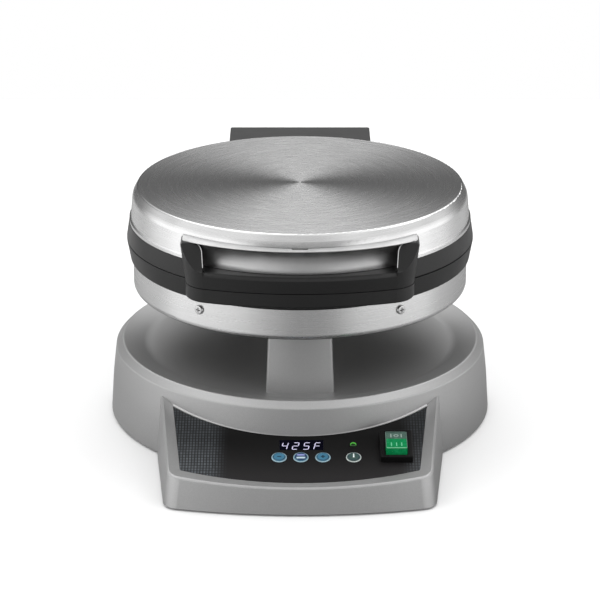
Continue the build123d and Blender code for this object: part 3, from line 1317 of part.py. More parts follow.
def lower_bracket_bolts():
    """Bolts of the fixed bracket."""
    return bracket_bolts(lower_bolt_z())


def upper_bracket_bolts():
    """Bolts of the lid's bracket."""
    return bracket_bolts(upper_bolt_z())


def hinge_pin():
    """Pin through all the knuckles, with chamfered ends."""
    pin = rod(PIN_RADIUS, -KNUCKLE_HALF - 0.5, KNUCKLE_HALF + 0.5, HINGE_Y, SEAM_Z)
    return chamfer(pin.edges().filter_by(GeomType.CIRCLE), 0.5)


def hinge_springs():
    """Two close-wound counterbalance springs on the pin."""
    start = CENTRE_KNUCKLE_HALF + 2
    height = SPRING_PITCH * SPRING_TURNS
    path = Helix(SPRING_PITCH, height, SPRING_RADIUS)
    section = Plane(origin=path @ 0, z_dir=path % 0) * Circle(SPRING_WIRE)
    coil = sweep(section, path, is_frenet=True)
    right = Pos(start, HINGE_Y, SEAM_Z) * (Rot(0, 90, 0) * coil)
    return [right, mirror(right, about=Plane.YZ)]


def hinge_case(inset, rear_inset, low, high):
    """Block of the hinge case with its draft, from low up to high, drawn in by the wall."""
    half = COVER_HALF - inset
    rear = COVER_REAR - rear_inset
    plan = Pos(0, (rear + COVER_FRONT_Y) / 2) * Rectangle(2 * half, rear - COVER_FRONT_Y)
    plan = fillet(plan.vertices().group_by(Axis.Y)[-1], COVER_REAR_ROUND - inset)
    return extrude(Pos(0, 0, low) * plan, high - low, taper=COVER_DRAFT)


def sweep_relief():
    """Space behind the hinge pin that the cover's lower edge turns through."""
    overhang = COVER_REAR - HINGE_Y
    opened = radians(OPEN_ANGLE)
    corner_y = overhang * cos(opened)
    corner_z = -overhang * sin(opened)
    depth = -corner_z + (overhang - corner_y) * tan(opened - radians(90)) + SEAM_GAP + SEAT_GAP
    span = (-COVER_HALF - 1, COVER_HALF + 1)
    relief = rod(overhang + SEAM_GAP, *span, HINGE_Y, SEAM_Z)
    return relief + block(span, (HINGE_Y + corner_y, COVER_REAR + 1), (SEAM_Z - depth, SEAM_Z + 1))


def cover_screw_hole(side, z):
    """Hole and head recess in a case's rear wall for a screw along Y."""
    x = side * COVER_SCREW_X
    hole = bar(SCREW_RADIUS + SCREW_FIT, HINGE_Y - 10, COVER_REAR + 1, x, z)
    recess = bar(SCREW_HEAD_RADIUS + SEAT_GAP, COVER_REAR - COVER_HEAD_SINK, COVER_REAR + 1, x, z)
    return hole + recess


def cover_screws(z):
    """Screws from behind through a case's posts into the bracket's leaf."""
    seat = COVER_REAR - COVER_HEAD_SINK
    leaf = HINGE_Y - KNUCKLE_RADIUS
    screws = []
    for side in BOTH_SIDES:
        head = bar(SCREW_HEAD_RADIUS, seat, seat + SCREW_HEAD, side * COVER_SCREW_X, z)
        screws.append(head + bar(SCREW_RADIUS, leaf, seat, side * COVER_SCREW_X, z))
    return screws


def case_posts(z):
    """Posts from a case's rear wall to the bracket's leaf."""
    leaf = HINGE_Y - KNUCKLE_RADIUS + LEAF_THICKNESS
    wall = COVER_REAR - COVER_WALL
    return [bar(COVER_POST_RADIUS, leaf, wall, side * COVER_SCREW_X, z) for side in BOTH_SIDES]


def cover_screw_z():
    """Height of the hinge cover's screws."""
    return SEAM_Z + COVER_SCREW_OFFSET


def hinge_cover():
    """Moulded rear cover that turns with the lid."""
    outside = hinge_case(0, 0, UPPER_SEAM_Z, COVER_TOP_Z)
    outside = fillet(outside.faces().sort_by(Axis.Z)[-1].edges(), COVER_EDGE_ROUND)
    hollow = hinge_case(COVER_WALL, COVER_WALL, UPPER_SEAM_Z - 0.1, COVER_TOP_Z - COVER_WALL)
    cover = outside - hollow
    for post in case_posts(cover_screw_z()):
        cover += post
    for side in BOTH_SIDES:
        cover -= cover_screw_hole(side, cover_screw_z())
    cover -= turned(lid_outline(SEAT_GAP))
    return cover - disc(RING_SEAM_RADIUS + SEAT_GAP, UPPER_SEAM_Z - 1, RING_HIGH_Z + 0.1)


def hinge_housing():
    """Moulded rear housing below the seam, fixed to the lower bracket."""
    outside = mirror(hinge_case(0, 0, UPPER_SEAM_Z, 2 * SEAM_Z - HOUSING_LOW_Z), about=SEAM_PLANE)
    outside = fillet(outside.faces().sort_by(Axis.Z)[0].edges(), COVER_EDGE_ROUND)
    high = 2 * SEAM_Z - HOUSING_LOW_Z - COVER_WALL
    hollow = mirror(hinge_case(COVER_WALL, COVER_WALL, UPPER_SEAM_Z - 0.1, high), about=SEAM_PLANE)
    housing = outside - hollow
    for post in case_posts(housing_screw_z()):
        housing += post
    for side in BOTH_SIDES:
        housing -= cover_screw_hole(side, housing_screw_z())
    housing -= sweep_relief()
    housing -= disc(SHELL_RADIUS + SEAT_GAP, HOUSING_LOW_Z - 1, SEAM_Z)
    return housing - disc(RING_SEAM_RADIUS + SEAT_GAP, RING_LOW_Z - SEAT_GAP, SEAM_Z)


PIECES = {
    "base_shell": base_shell,
    "bottom_plate": bottom_plate,
    "feet": feet,
    "foot_screws": foot_screws,
    "bottom_screws": bottom_screws,
    "cord_gland": cord_gland,
    "board_standoffs": board_standoffs,
    "power_board": power_board,
    "transformer": transformer,
    "relays": relays,
    "terminal_block": terminal_block,
    "control_overlay": control_overlay,
    "display_window": display_window,
    "display_module": display_module,
    "ready_lamp": ready_lamp,
    "key_rings": key_rings,
    "tact_switches": tact_switches,
    "control_board": control_board,
    "board_screws": board_screws,
    "buzzer": buzzer,
    "switch_housing": switch_housing,
    "power_rocker": power_rocker,
    "rocker_cover": rocker_cover,
    "column": column,
    "column_bolts": column_bolts,
    "head_mount_plate": head_mount_plate,
    "head_bolts": head_bolts,
    "lower_shell": lower_shell,
    "shell_screws": shell_screws,
    "lower_ring": lower_ring,
    "lower_plate": lower_plate,
    "lower_plate_screws": lower_plate_screws,
    "lower_heater": lower_heater,
    "lower_reflector": lower_reflector,
    "lower_reflector_screws": reflector_screws,
    "lower_thermostat": lower_thermostat,
    "hinge_bracket_lower": hinge_bracket_lower,
    "lower_bracket_bolts": lower_bracket_bolts,
    "hinge_pin": hinge_pin,
    "hinge_springs": hinge_springs,
    "hinge_housing": hinge_housing,
    "hinge_housing_screws": lambda: cover_screws(housing_screw_z()),
    "lid_shell": lid_shell,
    "upper_ring": upper_ring,
    "upper_plate": lambda: in_lid(lower_plate()),
    "upper_plate_screws": lambda: in_lid(lower_plate_screws()),
    "upper_heater": lambda: in_lid(lower_heater()),
    "upper_reflector": lambda: in_lid(lower_reflector()),
    "upper_reflector_screws": lambda: in_lid(reflector_screws()),
    "upper_thermostat": lambda: in_lid(lower_thermostat()),
    "handle_shield": handle_shield,
    "hinge_bracket_upper": hinge_bracket_upper,
    "upper_bracket_bolts": upper_bracket_bolts,
    "hinge_cover": hinge_cover,
    "hinge_cover_screws": lambda: cover_screws(cover_screw_z()),
}
PIECES.update({name: (lambda place=place: key(place)) for name, place in KEY_PLACES.items()})


def solids_of(made):
    """All solids of what a piece's function returned."""
    pieces = made if isinstance(made, list) else [made]
    return [solid for piece in pieces for solid in piece.solids()]


def main():
    """Writes one STEP file per piece."""
    os.makedirs("parts", exist_ok=True)
    for name, make in PIECES.items():
        solids = [Pos(0, FRAME_SHIFT, 0) * solid for solid in solids_of(make())]
        shape = solids[0] if len(solids) == 1 else Compound(children=solids)
        export_step(shape, f"parts/{name}.step")


main()
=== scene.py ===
import json
import math

import bmesh
import bpy
from mathutils import Matrix, Vector


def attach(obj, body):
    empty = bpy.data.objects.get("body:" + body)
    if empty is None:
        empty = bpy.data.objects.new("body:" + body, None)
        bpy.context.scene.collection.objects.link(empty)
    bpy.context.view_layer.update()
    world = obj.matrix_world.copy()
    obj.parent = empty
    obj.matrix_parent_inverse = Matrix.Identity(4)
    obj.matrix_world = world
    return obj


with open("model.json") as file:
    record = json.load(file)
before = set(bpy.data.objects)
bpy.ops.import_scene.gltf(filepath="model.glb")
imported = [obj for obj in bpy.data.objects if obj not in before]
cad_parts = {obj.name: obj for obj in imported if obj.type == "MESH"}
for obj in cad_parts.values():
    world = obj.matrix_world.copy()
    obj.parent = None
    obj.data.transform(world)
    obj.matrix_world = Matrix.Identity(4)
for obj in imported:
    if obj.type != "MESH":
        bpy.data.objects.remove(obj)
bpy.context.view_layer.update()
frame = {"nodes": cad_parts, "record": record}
nodes = frame["nodes"]

# Named sizes are in millimetres and are multiplied by MM where they are used, apart from the floor's and the
# lamps', which are in metres. A place on the panel is across, then down the slope.
MM = 0.001
AXIS_Y = 23.5 * MM
PANEL_TILT = math.radians(14.5)
PANEL_REACH = 187.6
PANEL_LEVEL = 43.3
PANEL_ORIGIN = Vector((0.0, -PANEL_REACH * MM + AXIS_Y, PANEL_LEVEL * MM))
PANEL_TURN = Matrix.Rotation(PANEL_TILT, 4, "X")

SWITCH_PLACE = (89.8, 19.2)
LAMP_PLACE = (49.8, 14.6)
DISPLAY_DOWN = 15.1
KEY_DOWN = 32.4
KEY_PLACES = {
    "minus_key": (-19.4, KEY_DOWN),
    "select_key": (0.8, KEY_DOWN),
    "plus_key": (21.3, KEY_DOWN),
    "timer_key": (49.9, KEY_DOWN),
}


# ---------------------------------------------------------------- shader helpers
def new_material(name):
    """An empty node material with its output, and the tree to build in."""
    material = bpy.data.materials.new(name)
    material.use_nodes = True
    tree = material.node_tree
    tree.nodes.clear()
    tree.nodes.new("ShaderNodeOutputMaterial")
    return material, tree


def add(tree, kind, settings=None, inputs=None):
    """One node with its settings and its inputs: values are set and sockets are linked."""
    made = tree.nodes.new(kind)
    for key, value in (settings or {}).items():
        setattr(made, key, value)
    for key, value in (inputs or {}).items():
        if isinstance(value, bpy.types.NodeSocket):
            tree.links.new(value, made.inputs[key])
        else:
            made.inputs[key].default_value = value
    return made


def math_node(tree, operation, first, second=0.0, third=0.0, clamp=False):
    """Result of one Math node."""
    settings = {"operation": operation, "use_clamp": clamp}
    return add(tree, "ShaderNodeMath", settings, {0: first, 1: second, 2: third}).outputs[0]


def product(tree, *values):
    """Product of several values."""
    result = values[0]
    for value in values[1:]:
        result = math_node(tree, "MULTIPLY", result, value)
    return result


def mix_colours(tree, amount, first, second):
    """Colour between two colours."""
    inputs = {0: amount, 6: first, 7: second}
    return add(tree, "ShaderNodeMix", {"data_type": "RGBA"}, inputs).outputs[2]


def fitted(tree, value, low, high, to_low, to_high, smooth=False):
    """Value carried from one range to another, and held at its ends."""
    settings = {"interpolation_type": "SMOOTHSTEP"} if smooth else {}
    inputs = {0: value, 1: low, 2: high, 3: to_low, 4: to_high}
    return add(tree, "ShaderNodeMapRange", settings, inputs).outputs[0]


def place(tree):
    """Position in the part's own frame, in metres."""
    return add(tree, "ShaderNodeTexCoord").outputs["Object"]


def grain(tree, vector, scale, detail, roughness):
    """Noise value of a given scale."""
    inputs = {"Vector": vector, "Scale": scale, "Detail": detail, "Roughness": roughness}
    return add(tree, "ShaderNodeTexNoise", None, inputs).outputs["Fac"]


def bumped(tree, height, strength, distance):
    """Normal raised by a height."""
    inputs = {"Height": height, "Strength": strength, "Distance": distance}
    return add(tree, "ShaderNodeBump", None, inputs).outputs["Normal"]


def surface(tree, shader):
    """Links a shader to the material's output."""
    output = next(item for item in tree.nodes if item.type == "OUTPUT_MATERIAL")
    tree.links.new(shader.outputs[0], output.inputs["Surface"])


def principled(tree, inputs):
    """The material's main shader, linked to its output."""
    surface(tree, add(tree, "ShaderNodeBsdfPrincipled", None, inputs))


def grey(value, tint=(1.0, 1.0, 1.0)):
    """Colour of a given lightness."""
    return (value * tint[0], value * tint[1], value * tint[2], 1.0)


def scaled(colour, factor):
    """Lighter or darker form of a colour."""
    return tuple(min(1.0, channel * factor) for channel in colour[:3]) + (1.0,)


def spread(tree, noise):
    """The middle of a noise value's range, stretched from 0 to 1."""
    return fitted(tree, noise, 0.3, 0.7, 0.0, 1.0)


def length_of(tree, x, y):
    """Length of a flat vector."""
    squares = math_node(tree, "ADD", product(tree, x, x), product(tree, y, y))
    return math_node(tree, "SQRT", squares)


def axis_polar(tree):
    """Distance from the head's upright axis, height, and place measured from the axis, in metres."""
    split = add(tree, "ShaderNodeSeparateXYZ", None, {0: place(tree)})
    x = split.outputs[0]
    y = math_node(tree, "SUBTRACT", split.outputs[1], AXIS_Y)
    return length_of(tree, x, y), split.outputs[2], x, y


# ---------------------------------------------------------------- materials
def turned_steel(name, colour, roughness, anisotropy, streak):
    """Stainless steel brushed in circles round the head's axis, with painted shade on its downward faces."""
    material, tree = new_material(name)
    radius, height, x, y = axis_polar(tree)
    across = math_node(tree, "ADD", radius, math_node(tree, "MULTIPLY", height, 1.3))
    safe = math_node(tree, "MAXIMUM", radius, 0.004)
    turn_x = math_node(tree, "DIVIDE", x, safe)
    turn_y = math_node(tree, "DIVIDE", y, safe)
    fine = add(tree, "ShaderNodeCombineXYZ", None, {
        0: math_node(tree, "MULTIPLY", across, 1500.0),
        1: math_node(tree, "MULTIPLY", turn_x, 5.0),
        2: math_node(tree, "MULTIPLY", turn_y, 5.0),
    }).outputs[0]
    broad = add(tree, "ShaderNodeCombineXYZ", None, {
        0: math_node(tree, "MULTIPLY", across, 260.0),
        1: math_node(tree, "MULTIPLY", turn_x, 2.0),
        2: math_node(tree, "MULTIPLY", turn_y, 2.0),
    }).outputs[0]
    line = grain(tree, fine, 1.0, 3.0, 0.6)
    band = grain(tree, broad, 1.0, 2.0, 0.5)
    smear = grain(tree, broad, 2.0, 2.0, 0.5)
    tone = fitted(tree, line, 0.3, 0.7, -streak, streak)
    tone = math_node(tree, "ADD", tone, fitted(tree, band, 0.3, 0.7, -0.6 * streak, 0.6 * streak))
    tone = math_node(tree, "ADD", tone, 1.0)
    brushed = fitted(tree, tone, 0.85, 1.15, 0.0, 1.0)
    shade = mix_colours(tree, brushed, scaled(colour, 0.90), scaled(colour, 1.10))
    # Faces that point down are painted near black. This is painted shade under the head, which the dish
    # below mirrors.
    facing = add(tree, "ShaderNodeTexCoord").outputs["Normal"]
    upwards = add(tree, "ShaderNodeSeparateXYZ", None, {0: facing}).outputs[2]
    clear_of_underside_shade = fitted(tree, upwards, -0.85, -0.65, 0.0, 1.0)
    shade = mix_colours(tree, clear_of_underside_shade, grey(0.02), shade)
    rough = fitted(tree, smear, 0.3, 0.7, roughness - 0.01, roughness + 0.02)
    tangent = add(tree, "ShaderNodeTangent", {"direction_type": "RADIAL", "axis": "Z"}).outputs[0]
    principled(tree, {
        "Base Color": shade,
        "Metallic": 1.0,
        "Roughness": rough,
        "Anisotropic": anisotropy,
        "Anisotropic Rotation": 0.25,
        "Tangent": tangent,
        "Normal": bumped(tree, line, 0.06, 0.00005),
    })
    return material


def plain_metal(name, colour, roughness, metallic=1.0):
    """Plated or rolled steel with a faint rolled grain and small smudges."""
    material, tree = new_material(name)
    where = place(tree)
    smudge = grain(tree, where, 60.0, 3.0, 0.6)
    speck = grain(tree, where, 900.0, 2.0, 0.5)
    principled(tree, {
        "Base Color": mix_colours(tree, spread(tree, smudge), scaled(colour, 0.92), colour),
        "Metallic": metallic,
        "Roughness": fitted(tree, smudge, 0.3, 0.7, roughness - 0.02, roughness + 0.03),
        "Normal": bumped(tree, speck, 0.04, 0.00002),
    })
    return material


def silver_paint(name, colour, roughness, metallic):
    """Satin metallic paint: fine flakes, a little orange peel and a faint cloudiness."""
    material, tree = new_material(name)
    where = place(tree)
    flake = grain(tree, where, 1900.0, 2.0, 0.6)
    peel = grain(tree, where, 260.0, 2.0, 0.5)
    cloud = grain(tree, where, 14.0, 2.0, 0.5)
    speckled = mix_colours(tree, spread(tree, flake), scaled(colour, 0.88), scaled(colour, 1.12))
    clouded = mix_colours(tree, fitted(tree, cloud, 0.35, 0.65, 0.0, 0.35), speckled, colour)
    principled(tree, {
        "Base Color": clouded,
        "Metallic": metallic,
        "Roughness": fitted(tree, flake, 0.3, 0.7, roughness - 0.03, roughness + 0.05),
        "Normal": bumped(tree, peel, 0.05, 0.0002),
        "Coat Weight": 0.12,
        "Coat Roughness": 0.35,
    })
    return material


def moulded(name, colour, roughness, grain_size=1500.0, depth=0.00006, strength=0.25, specular=0.5):
    """Moulded plastic with a fine spark-eroded grain and slightly uneven sheen."""
    material, tree = new_material(name)
    where = place(tree)
    fine = grain(tree, where, grain_size, 3.0, 0.6)
    sheen = grain(tree, where, 30.0, 2.0, 0.5)
    principled(tree, {
        "Base Color": mix_colours(tree, spread(tree, fine), scaled(colour, 0.8), scaled(colour, 1.2)),
        "Roughness": fitted(tree, sheen, 0.3, 0.7, roughness - 0.05, roughness + 0.05),
        "Specular IOR Level": specular,
        "Normal": bumped(tree, fine, strength, depth),
    })
    return material


def glossy_plastic(name, colour, roughness, coat, emission=0.0):
    """Smooth moulded plastic with a slightly uneven tone, and a glow of its own colour where one is given;
    on a part that is no lamp this glow is painted light.
    """
    material, tree = new_material(name)
    where = place(tree)
    tone = grain(tree, where, 120.0, 2.0, 0.5)
    ripple = grain(tree, where, 350.0, 1.0, 0.5)
    inputs = {
        "Base Color": mix_colours(tree, spread(tree, tone), scaled(colour, 0.86), scaled(colour, 1.14)),
        "Roughness": fitted(tree, tone, 0.3, 0.7, roughness - 0.02, roughness + 0.03),
        "Coat Weight": coat,
        "Coat Roughness": 0.08,
        "Normal": bumped(tree, ripple, 0.03, 0.00005),
    }
    if emission:
        inputs["Emission Color"] = colour
        inputs["Emission Strength"] = emission
    principled(tree, inputs)
    return material


def panel_coordinates(tree):
    """Place on the panel in millimetres: across, up the slope, and out of the face."""
    inputs = {
        "Vector": place(tree),
        "Location": PANEL_ORIGIN,
        "Rotation": (PANEL_TILT, 0.0, 0.0),
        "Scale": (MM, MM, MM),
    }
    return add(tree, "ShaderNodeMapping", {"vector_type": "TEXTURE"}, inputs).outputs[0]


def overlay_print(name):
    """Printed film: near black in the middle, with a plain woven pattern that fades in at both ends."""
    material, tree = new_material(name)
    where = panel_coordinates(tree)
    split = add(tree, "ShaderNodeSeparateXYZ", None, {0: where})
    across, along = split.outputs[0], split.outputs[1]
    cool = (0.90, 1.0, 1.10)
    weave = add(tree, "ShaderNodeTexBrick", {"offset": 0.0, "squash": 1.0}, {
        "Vector": where,
        "Color1": grey(0.110, cool),
        "Color2": grey(0.075, cool),
        "Mortar": grey(0.018),
        "Scale": 1.0,
        "Mortar Size": 0.62,
        "Mortar Smooth": 0.5,
        "Brick Width": 2.8,
        "Row Height": 4.0,
    }).outputs["Color"]
    left = fitted(tree, across, -86.0, -66.0, 1.0, 0.0, True)
    right = fitted(tree, across, 92.0, 110.0, 0.0, 0.65, True)
    strength = fitted(tree, along, -42.0, -4.0, 1.0, 0.55)
    amount = product(tree, math_node(tree, "ADD", left, right), strength)
    dust = grain(tree, place(tree), 700.0, 2.0, 0.5)
    uneven = fitted(tree, dust, 0.3, 0.7, -0.04, 0.04)
    # The plain part is painted lighter towards its lower edge and darker up the slope: painted shade, with a
    # random tone added.
    painted_shade_and_tone = math_node(tree, "ADD", fitted(tree, along, -62.0, -2.0, 1.0, 0.0), uneven)
    plain = mix_colours(tree, painted_shade_and_tone, grey(0.0020, (1.0, 0.97, 0.98)), grey(0.0215, (1.0, 0.95, 0.97)))
    principled(tree, {
        "Base Color": mix_colours(tree, amount, plain, weave),
        "Roughness": fitted(tree, dust, 0.3, 0.7, 0.36, 0.44),
        "Specular IOR Level": 0.13,
        "Normal": bumped(tree, dust, 0.05, 0.00003),
    })
    return material


def clear_cover(name):
    """Thin clear moulding: mostly see-through, with a pale cast and a sharp reflection."""
    material, tree = new_material(name)
    ripple = grain(tree, place(tree), 420.0, 2.0, 0.5)
    greenish = (0.9, 1.0, 0.95)
    principled(tree, {
        "Base Color": mix_colours(tree, ripple, grey(0.06, greenish), grey(0.12, greenish)),
        "Roughness": 0.10,
        "Alpha": 0.05,
        "Normal": bumped(tree, ripple, 0.1, 0.00008),
    })
    return material


def rocker_shades(name):
    """Rocker: bright green towards the front, with a darker grey-green rear part."""
    material, tree = new_material(name)
    split = add(tree, "ShaderNodeSeparateXYZ", None, {0: panel_coordinates(tree)})
    along = math_node(tree, "ADD", split.outputs[1], SWITCH_PLACE[1])
    back = fitted(tree, along, 3.4, 5.0, 0.0, 1.0, True)
    blotch = grain(tree, place(tree), 300.0, 3.0, 0.6)
    streaked = fitted(tree, blotch, 0.35, 0.65, 0.0, 1.0)
    green = mix_colours(tree, streaked, (0.0, 0.155, 0.045, 1.0), (0.010, 0.27, 0.095, 1.0))
    pale = mix_colours(tree, streaked, (0.055, 0.105, 0.085, 1.0), (0.12, 0.19, 0.16, 1.0))
    glow = mix_colours(tree, back, (0.0, 0.22, 0.06, 1.0), (0.01, 0.03, 0.02, 1.0))
    principled(tree, {
        "Base Color": mix_colours(tree, back, green, pale),
        "Roughness": 0.3,
        "Specular IOR Level": 0.08,
        "Emission Color": glow,
        "Emission Strength": 0.25,
        "Normal": bumped(tree, blotch, 0.05, 0.0001),
    })
    return material


def panel_distance(tree, across, down):
    """Distance from a place on the panel, in millimetres."""
    split = add(tree, "ShaderNodeSeparateXYZ", None, {0: panel_coordinates(tree)})
    dx = math_node(tree, "SUBTRACT", split.outputs[0], across)
    dy = math_node(tree, "ADD", split.outputs[1], down)
    return length_of(tree, dx, dy)


def lamp_lens(name):
    """Green lamp: a bright rim of the lens round a darker middle."""
    material, tree = new_material(name)
    rim = fitted(tree, panel_distance(tree, *LAMP_PLACE), 1.9, 3.2, 0.0, 1.0, True)
    speck = grain(tree, place(tree), 900.0, 2.0, 0.5)
    lit = mix_colours(tree, speck, (0.05, 0.36, 0.03, 1.0), (0.10, 0.52, 0.06, 1.0))
    colour = mix_colours(tree, rim, (0.004, 0.035, 0.004, 1.0), lit)
    principled(tree, {
        "Base Color": colour,
        "Roughness": 0.22,
        "Coat Weight": 0.3,
        "Emission Color": colour,
        "Emission Strength": 0.25,
    })
    return material


def trim_rings(name):
    """Rings round the keys: pale blue, and nearly white round the timer key."""
    material, tree = new_material(name)
    tone = grain(tree, place(tree), 300.0, 2.0, 0.5)
    blue = mix_colours(tree, tone, (0.30, 0.47, 0.55, 1.0), (0.40, 0.58, 0.66, 1.0))
    white = mix_colours(tree, tone, (0.50, 0.56, 0.54, 1.0), (0.62, 0.68, 0.66, 1.0))
    near = fitted(tree, panel_distance(tree, *KEY_PLACES["timer_key"]), 9.0, 11.0, 1.0, 0.0)
    principled(tree, {
        "Base Color": mix_colours(tree, near, blue, white),
        "Roughness": fitted(tree, tone, 0.3, 0.7, 0.24, 0.32),
        "Coat Weight": 0.3,
    })
    return material


def board(name):
    """Circuit board: green mask with a pattern of copper tracks under it."""
    material, tree = new_material(name)
    where = place(tree)
    tracks = add(tree, "ShaderNodeTexBrick", {"offset": 0.37}, {
        "Vector": where,
        "Color1": (0.012, 0.12, 0.045, 1.0),
        "Color2": (0.010, 0.09, 0.035, 1.0),
        "Mortar": (0.04, 0.22, 0.09, 1.0),
        "Scale": 1.0,
        "Mortar Size": 0.0004,
        "Brick Width": 0.009,
        "Row Height": 0.0027,
    }).outputs["Color"]
    principled(tree, {"Base Color": tracks, "Roughness": 0.35, "Coat Weight": 0.3})
    return material


DEEP_BLUE = (0.0012, 0.0012, 0.0060, 1.0)
looks = {
    "silver_paint": silver_paint("satin_silver_paint", grey(0.41), 0.38, 0.60),
    "lid_steel": turned_steel("turned_stainless", grey(0.62), 0.26, 0.78, 0.05),
    "polished_steel": plain_metal("polished_stainless", grey(0.64), 0.30),
    "screw_chrome": plain_metal("bright_screw", grey(0.55), 0.16),
    "black_plastic": moulded(
        "satin_black_plastic", grey(0.0120), 0.38, depth=0.00004, strength=0.2, specular=0.26),
    "hinge_plastic": moulded("matt_dark_plastic", grey(0.016), 0.6),
    "switch_black": moulded(
        "switch_black_plastic", grey(0.0065), 0.45, 900.0, depth=0.00003, strength=0.1, specular=0.10),
    "plated_steel": plain_metal("zinc_plated_steel", grey(0.50, (1.0, 1.0, 1.02)), 0.38),
    "nonstick": moulded("dark_nonstick_coating", grey(0.022), 0.42, 700.0, depth=0.0001, strength=0.2),
    "heater_sheath": plain_metal("heat_stained_sheath", (0.20, 0.17, 0.15, 1.0), 0.5),
    "rubber_black": moulded("matt_black_rubber", grey(0.016), 0.7, 600.0, depth=0.0001, strength=0.3),
    "overlay_print": overlay_print("printed_overlay"),
    "window_smoke": moulded(
        "smoked_window", DEEP_BLUE, 0.45, 600.0, depth=0.00001, strength=0.05, specular=0.03),
    "display_face": moulded(
        "display_face_black", DEEP_BLUE, 0.5, 600.0, depth=0.00001, strength=0.05, specular=0.05),
    "lamp_green": lamp_lens("green_lamp_lens"),
    "key_blue": glossy_plastic("blue_key_cap", (0.055, 0.19, 0.30, 1.0), 0.30, 0.3),
    "key_slate": glossy_plastic("grey_green_key_cap", (0.045, 0.085, 0.078, 1.0), 0.30, 0.2),
    "ring_blue": trim_rings("pale_trim_rings"),
    "rocker_green": rocker_shades("lit_green_rocker"),
    "cover_clear": clear_cover("clear_rocker_cover"),
    "board_green": board("circuit_board"),
    "part_black": moulded("component_black", grey(0.02), 0.5),
    "part_cream": moulded("component_cream", (0.55, 0.50, 0.40, 1.0), 0.5),
    "core_steel": plain_metal("laminated_core", grey(0.16), 0.5),
    "spring_steel": plain_metal("spring_wire", grey(0.30), 0.35),
}

slot_of = {entry["node"]: entry["material_slot"] for entry in frame["record"]["subparts"]}
for name, thing in nodes.items():
    thing.data.materials.clear()
    thing.data.materials.append(looks[slot_of[name]])


# ---------------------------------------------------------------- pieces that the solids don't have
def mesh_piece(name, shape, look, body):
    """Object made of a bmesh, with its material and body."""
    data = bpy.data.meshes.new(name)
    shape.to_mesh(data)
    shape.free()
    thing = bpy.data.objects.new(name, data)
    bpy.context.scene.collection.objects.link(thing)
    data.materials.append(look)
    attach(thing, body)
    return thing


def prism(shape, outline, low, high):
    """Adds an upright prism over a flat outline, in millimetres of the panel."""
    bottom = [shape.verts.new((x, y, low)) for x, y in outline]
    top = [shape.verts.new((x, y, high)) for x, y in outline]
    shape.faces.new(list(reversed(bottom)))
    shape.faces.new(top)
    count = len(outline)
    for index in range(count):
        after = (index + 1) % count
        shape.faces.new((bottom[index], bottom[after], top[after], top[index]))


def to_panel(shape, across, down, lift=0.0, lean=0.0):
    """Moves a shape drawn in millimetres to a place on the panel, in metres."""
    inner = Matrix.Translation((across, -down, lift)) @ Matrix.Rotation(lean, 4, "X")
    matrix = Matrix.Translation(PANEL_ORIGIN) @ PANEL_TURN @ Matrix.Scale(MM, 4) @ inner
    bmesh.ops.transform(shape, matrix=matrix, verts=shape.verts)
    return shape


def bar_outline(length, width, cut):
    """Outline of a bar along X whose ends are cut to points, centred."""
    half, side = length / 2, width / 2
    return [
        (-half, 0), (-half + cut, -side), (half - cut, -side),
        (half, 0), (half - cut, side), (-half + cut, side),
    ]


def rounded_outline(length, width, radius, steps=5):
    """Outline of a rectangle with rounded corners, centred."""
    points = []
    corners = ((1, 1, 0), (-1, 1, 90), (-1, -1, 180), (1, -1, 270))
    for side_x, side_y, start in corners:
        centre = (side_x * (length / 2 - radius), side_y * (width / 2 - radius))
        for step in range(steps + 1):
            angle = math.radians(start + 90 * step / steps)
            points.append((centre[0] + radius * math.cos(angle), centre[1] + radius * math.sin(angle)))
    return points


SEGMENTS = {
    "top": (0, 1, 0), "middle": (0, 0, 0), "bottom": (0, -1, 0),
    "upper_left": (-1, 0.5, 90), "upper_right": (1, 0.5, 90),
    "lower_left": (-1, -0.5, 90), "lower_right": (1, -0.5, 90),
}
LIT = {
    "4": ("upper_left", "upper_right", "middle", "lower_right"),
    "2": ("top", "upper_right", "middle", "lower_left", "bottom"),
    "5": ("top", "upper_left", "middle", "lower_right", "bottom"),
    "F": ("top", "upper_left", "middle", "lower_left"),
}
DIGIT_WIDTH = 4.9
DIGIT_HEIGHT = 9.8
DIGIT_SLANT = math.tan(math.radians(11))
DIGIT_PLACES = (("4", -14.2), ("2", -4.1), ("5", 6.1), ("F", 16.1))
DIGIT_FOOT = 0.01
DIGIT_CROWN = 0.06
BAR_WIDTH = 0.85
BAR_POINT = 0.42
BAR_GAP = 0.35


def seven_segment(shape, character, across, down):
    """Adds one lit character of the display, slanted to the right."""
    for segment in LIT[character]:
        side, level, turn = SEGMENTS[segment]
        length = (DIGIT_HEIGHT / 2 if turn else DIGIT_WIDTH) - BAR_GAP
        angle = math.radians(turn)
        outline = []
        for x, y in bar_outline(length, BAR_WIDTH, BAR_POINT):
            px = x * math.cos(angle) - y * math.sin(angle) + side * DIGIT_WIDTH / 2
            py = x * math.sin(angle) + y * math.cos(angle) + level * DIGIT_HEIGHT / 2
            outline.append((across + px + py * DIGIT_SLANT, py - down))
        prism(shape, outline, DIGIT_FOOT, DIGIT_CROWN)


glow_white = glossy_plastic("display_segments", (0.60, 0.57, 0.78, 1.0), 0.4, 0.0, 0.40)
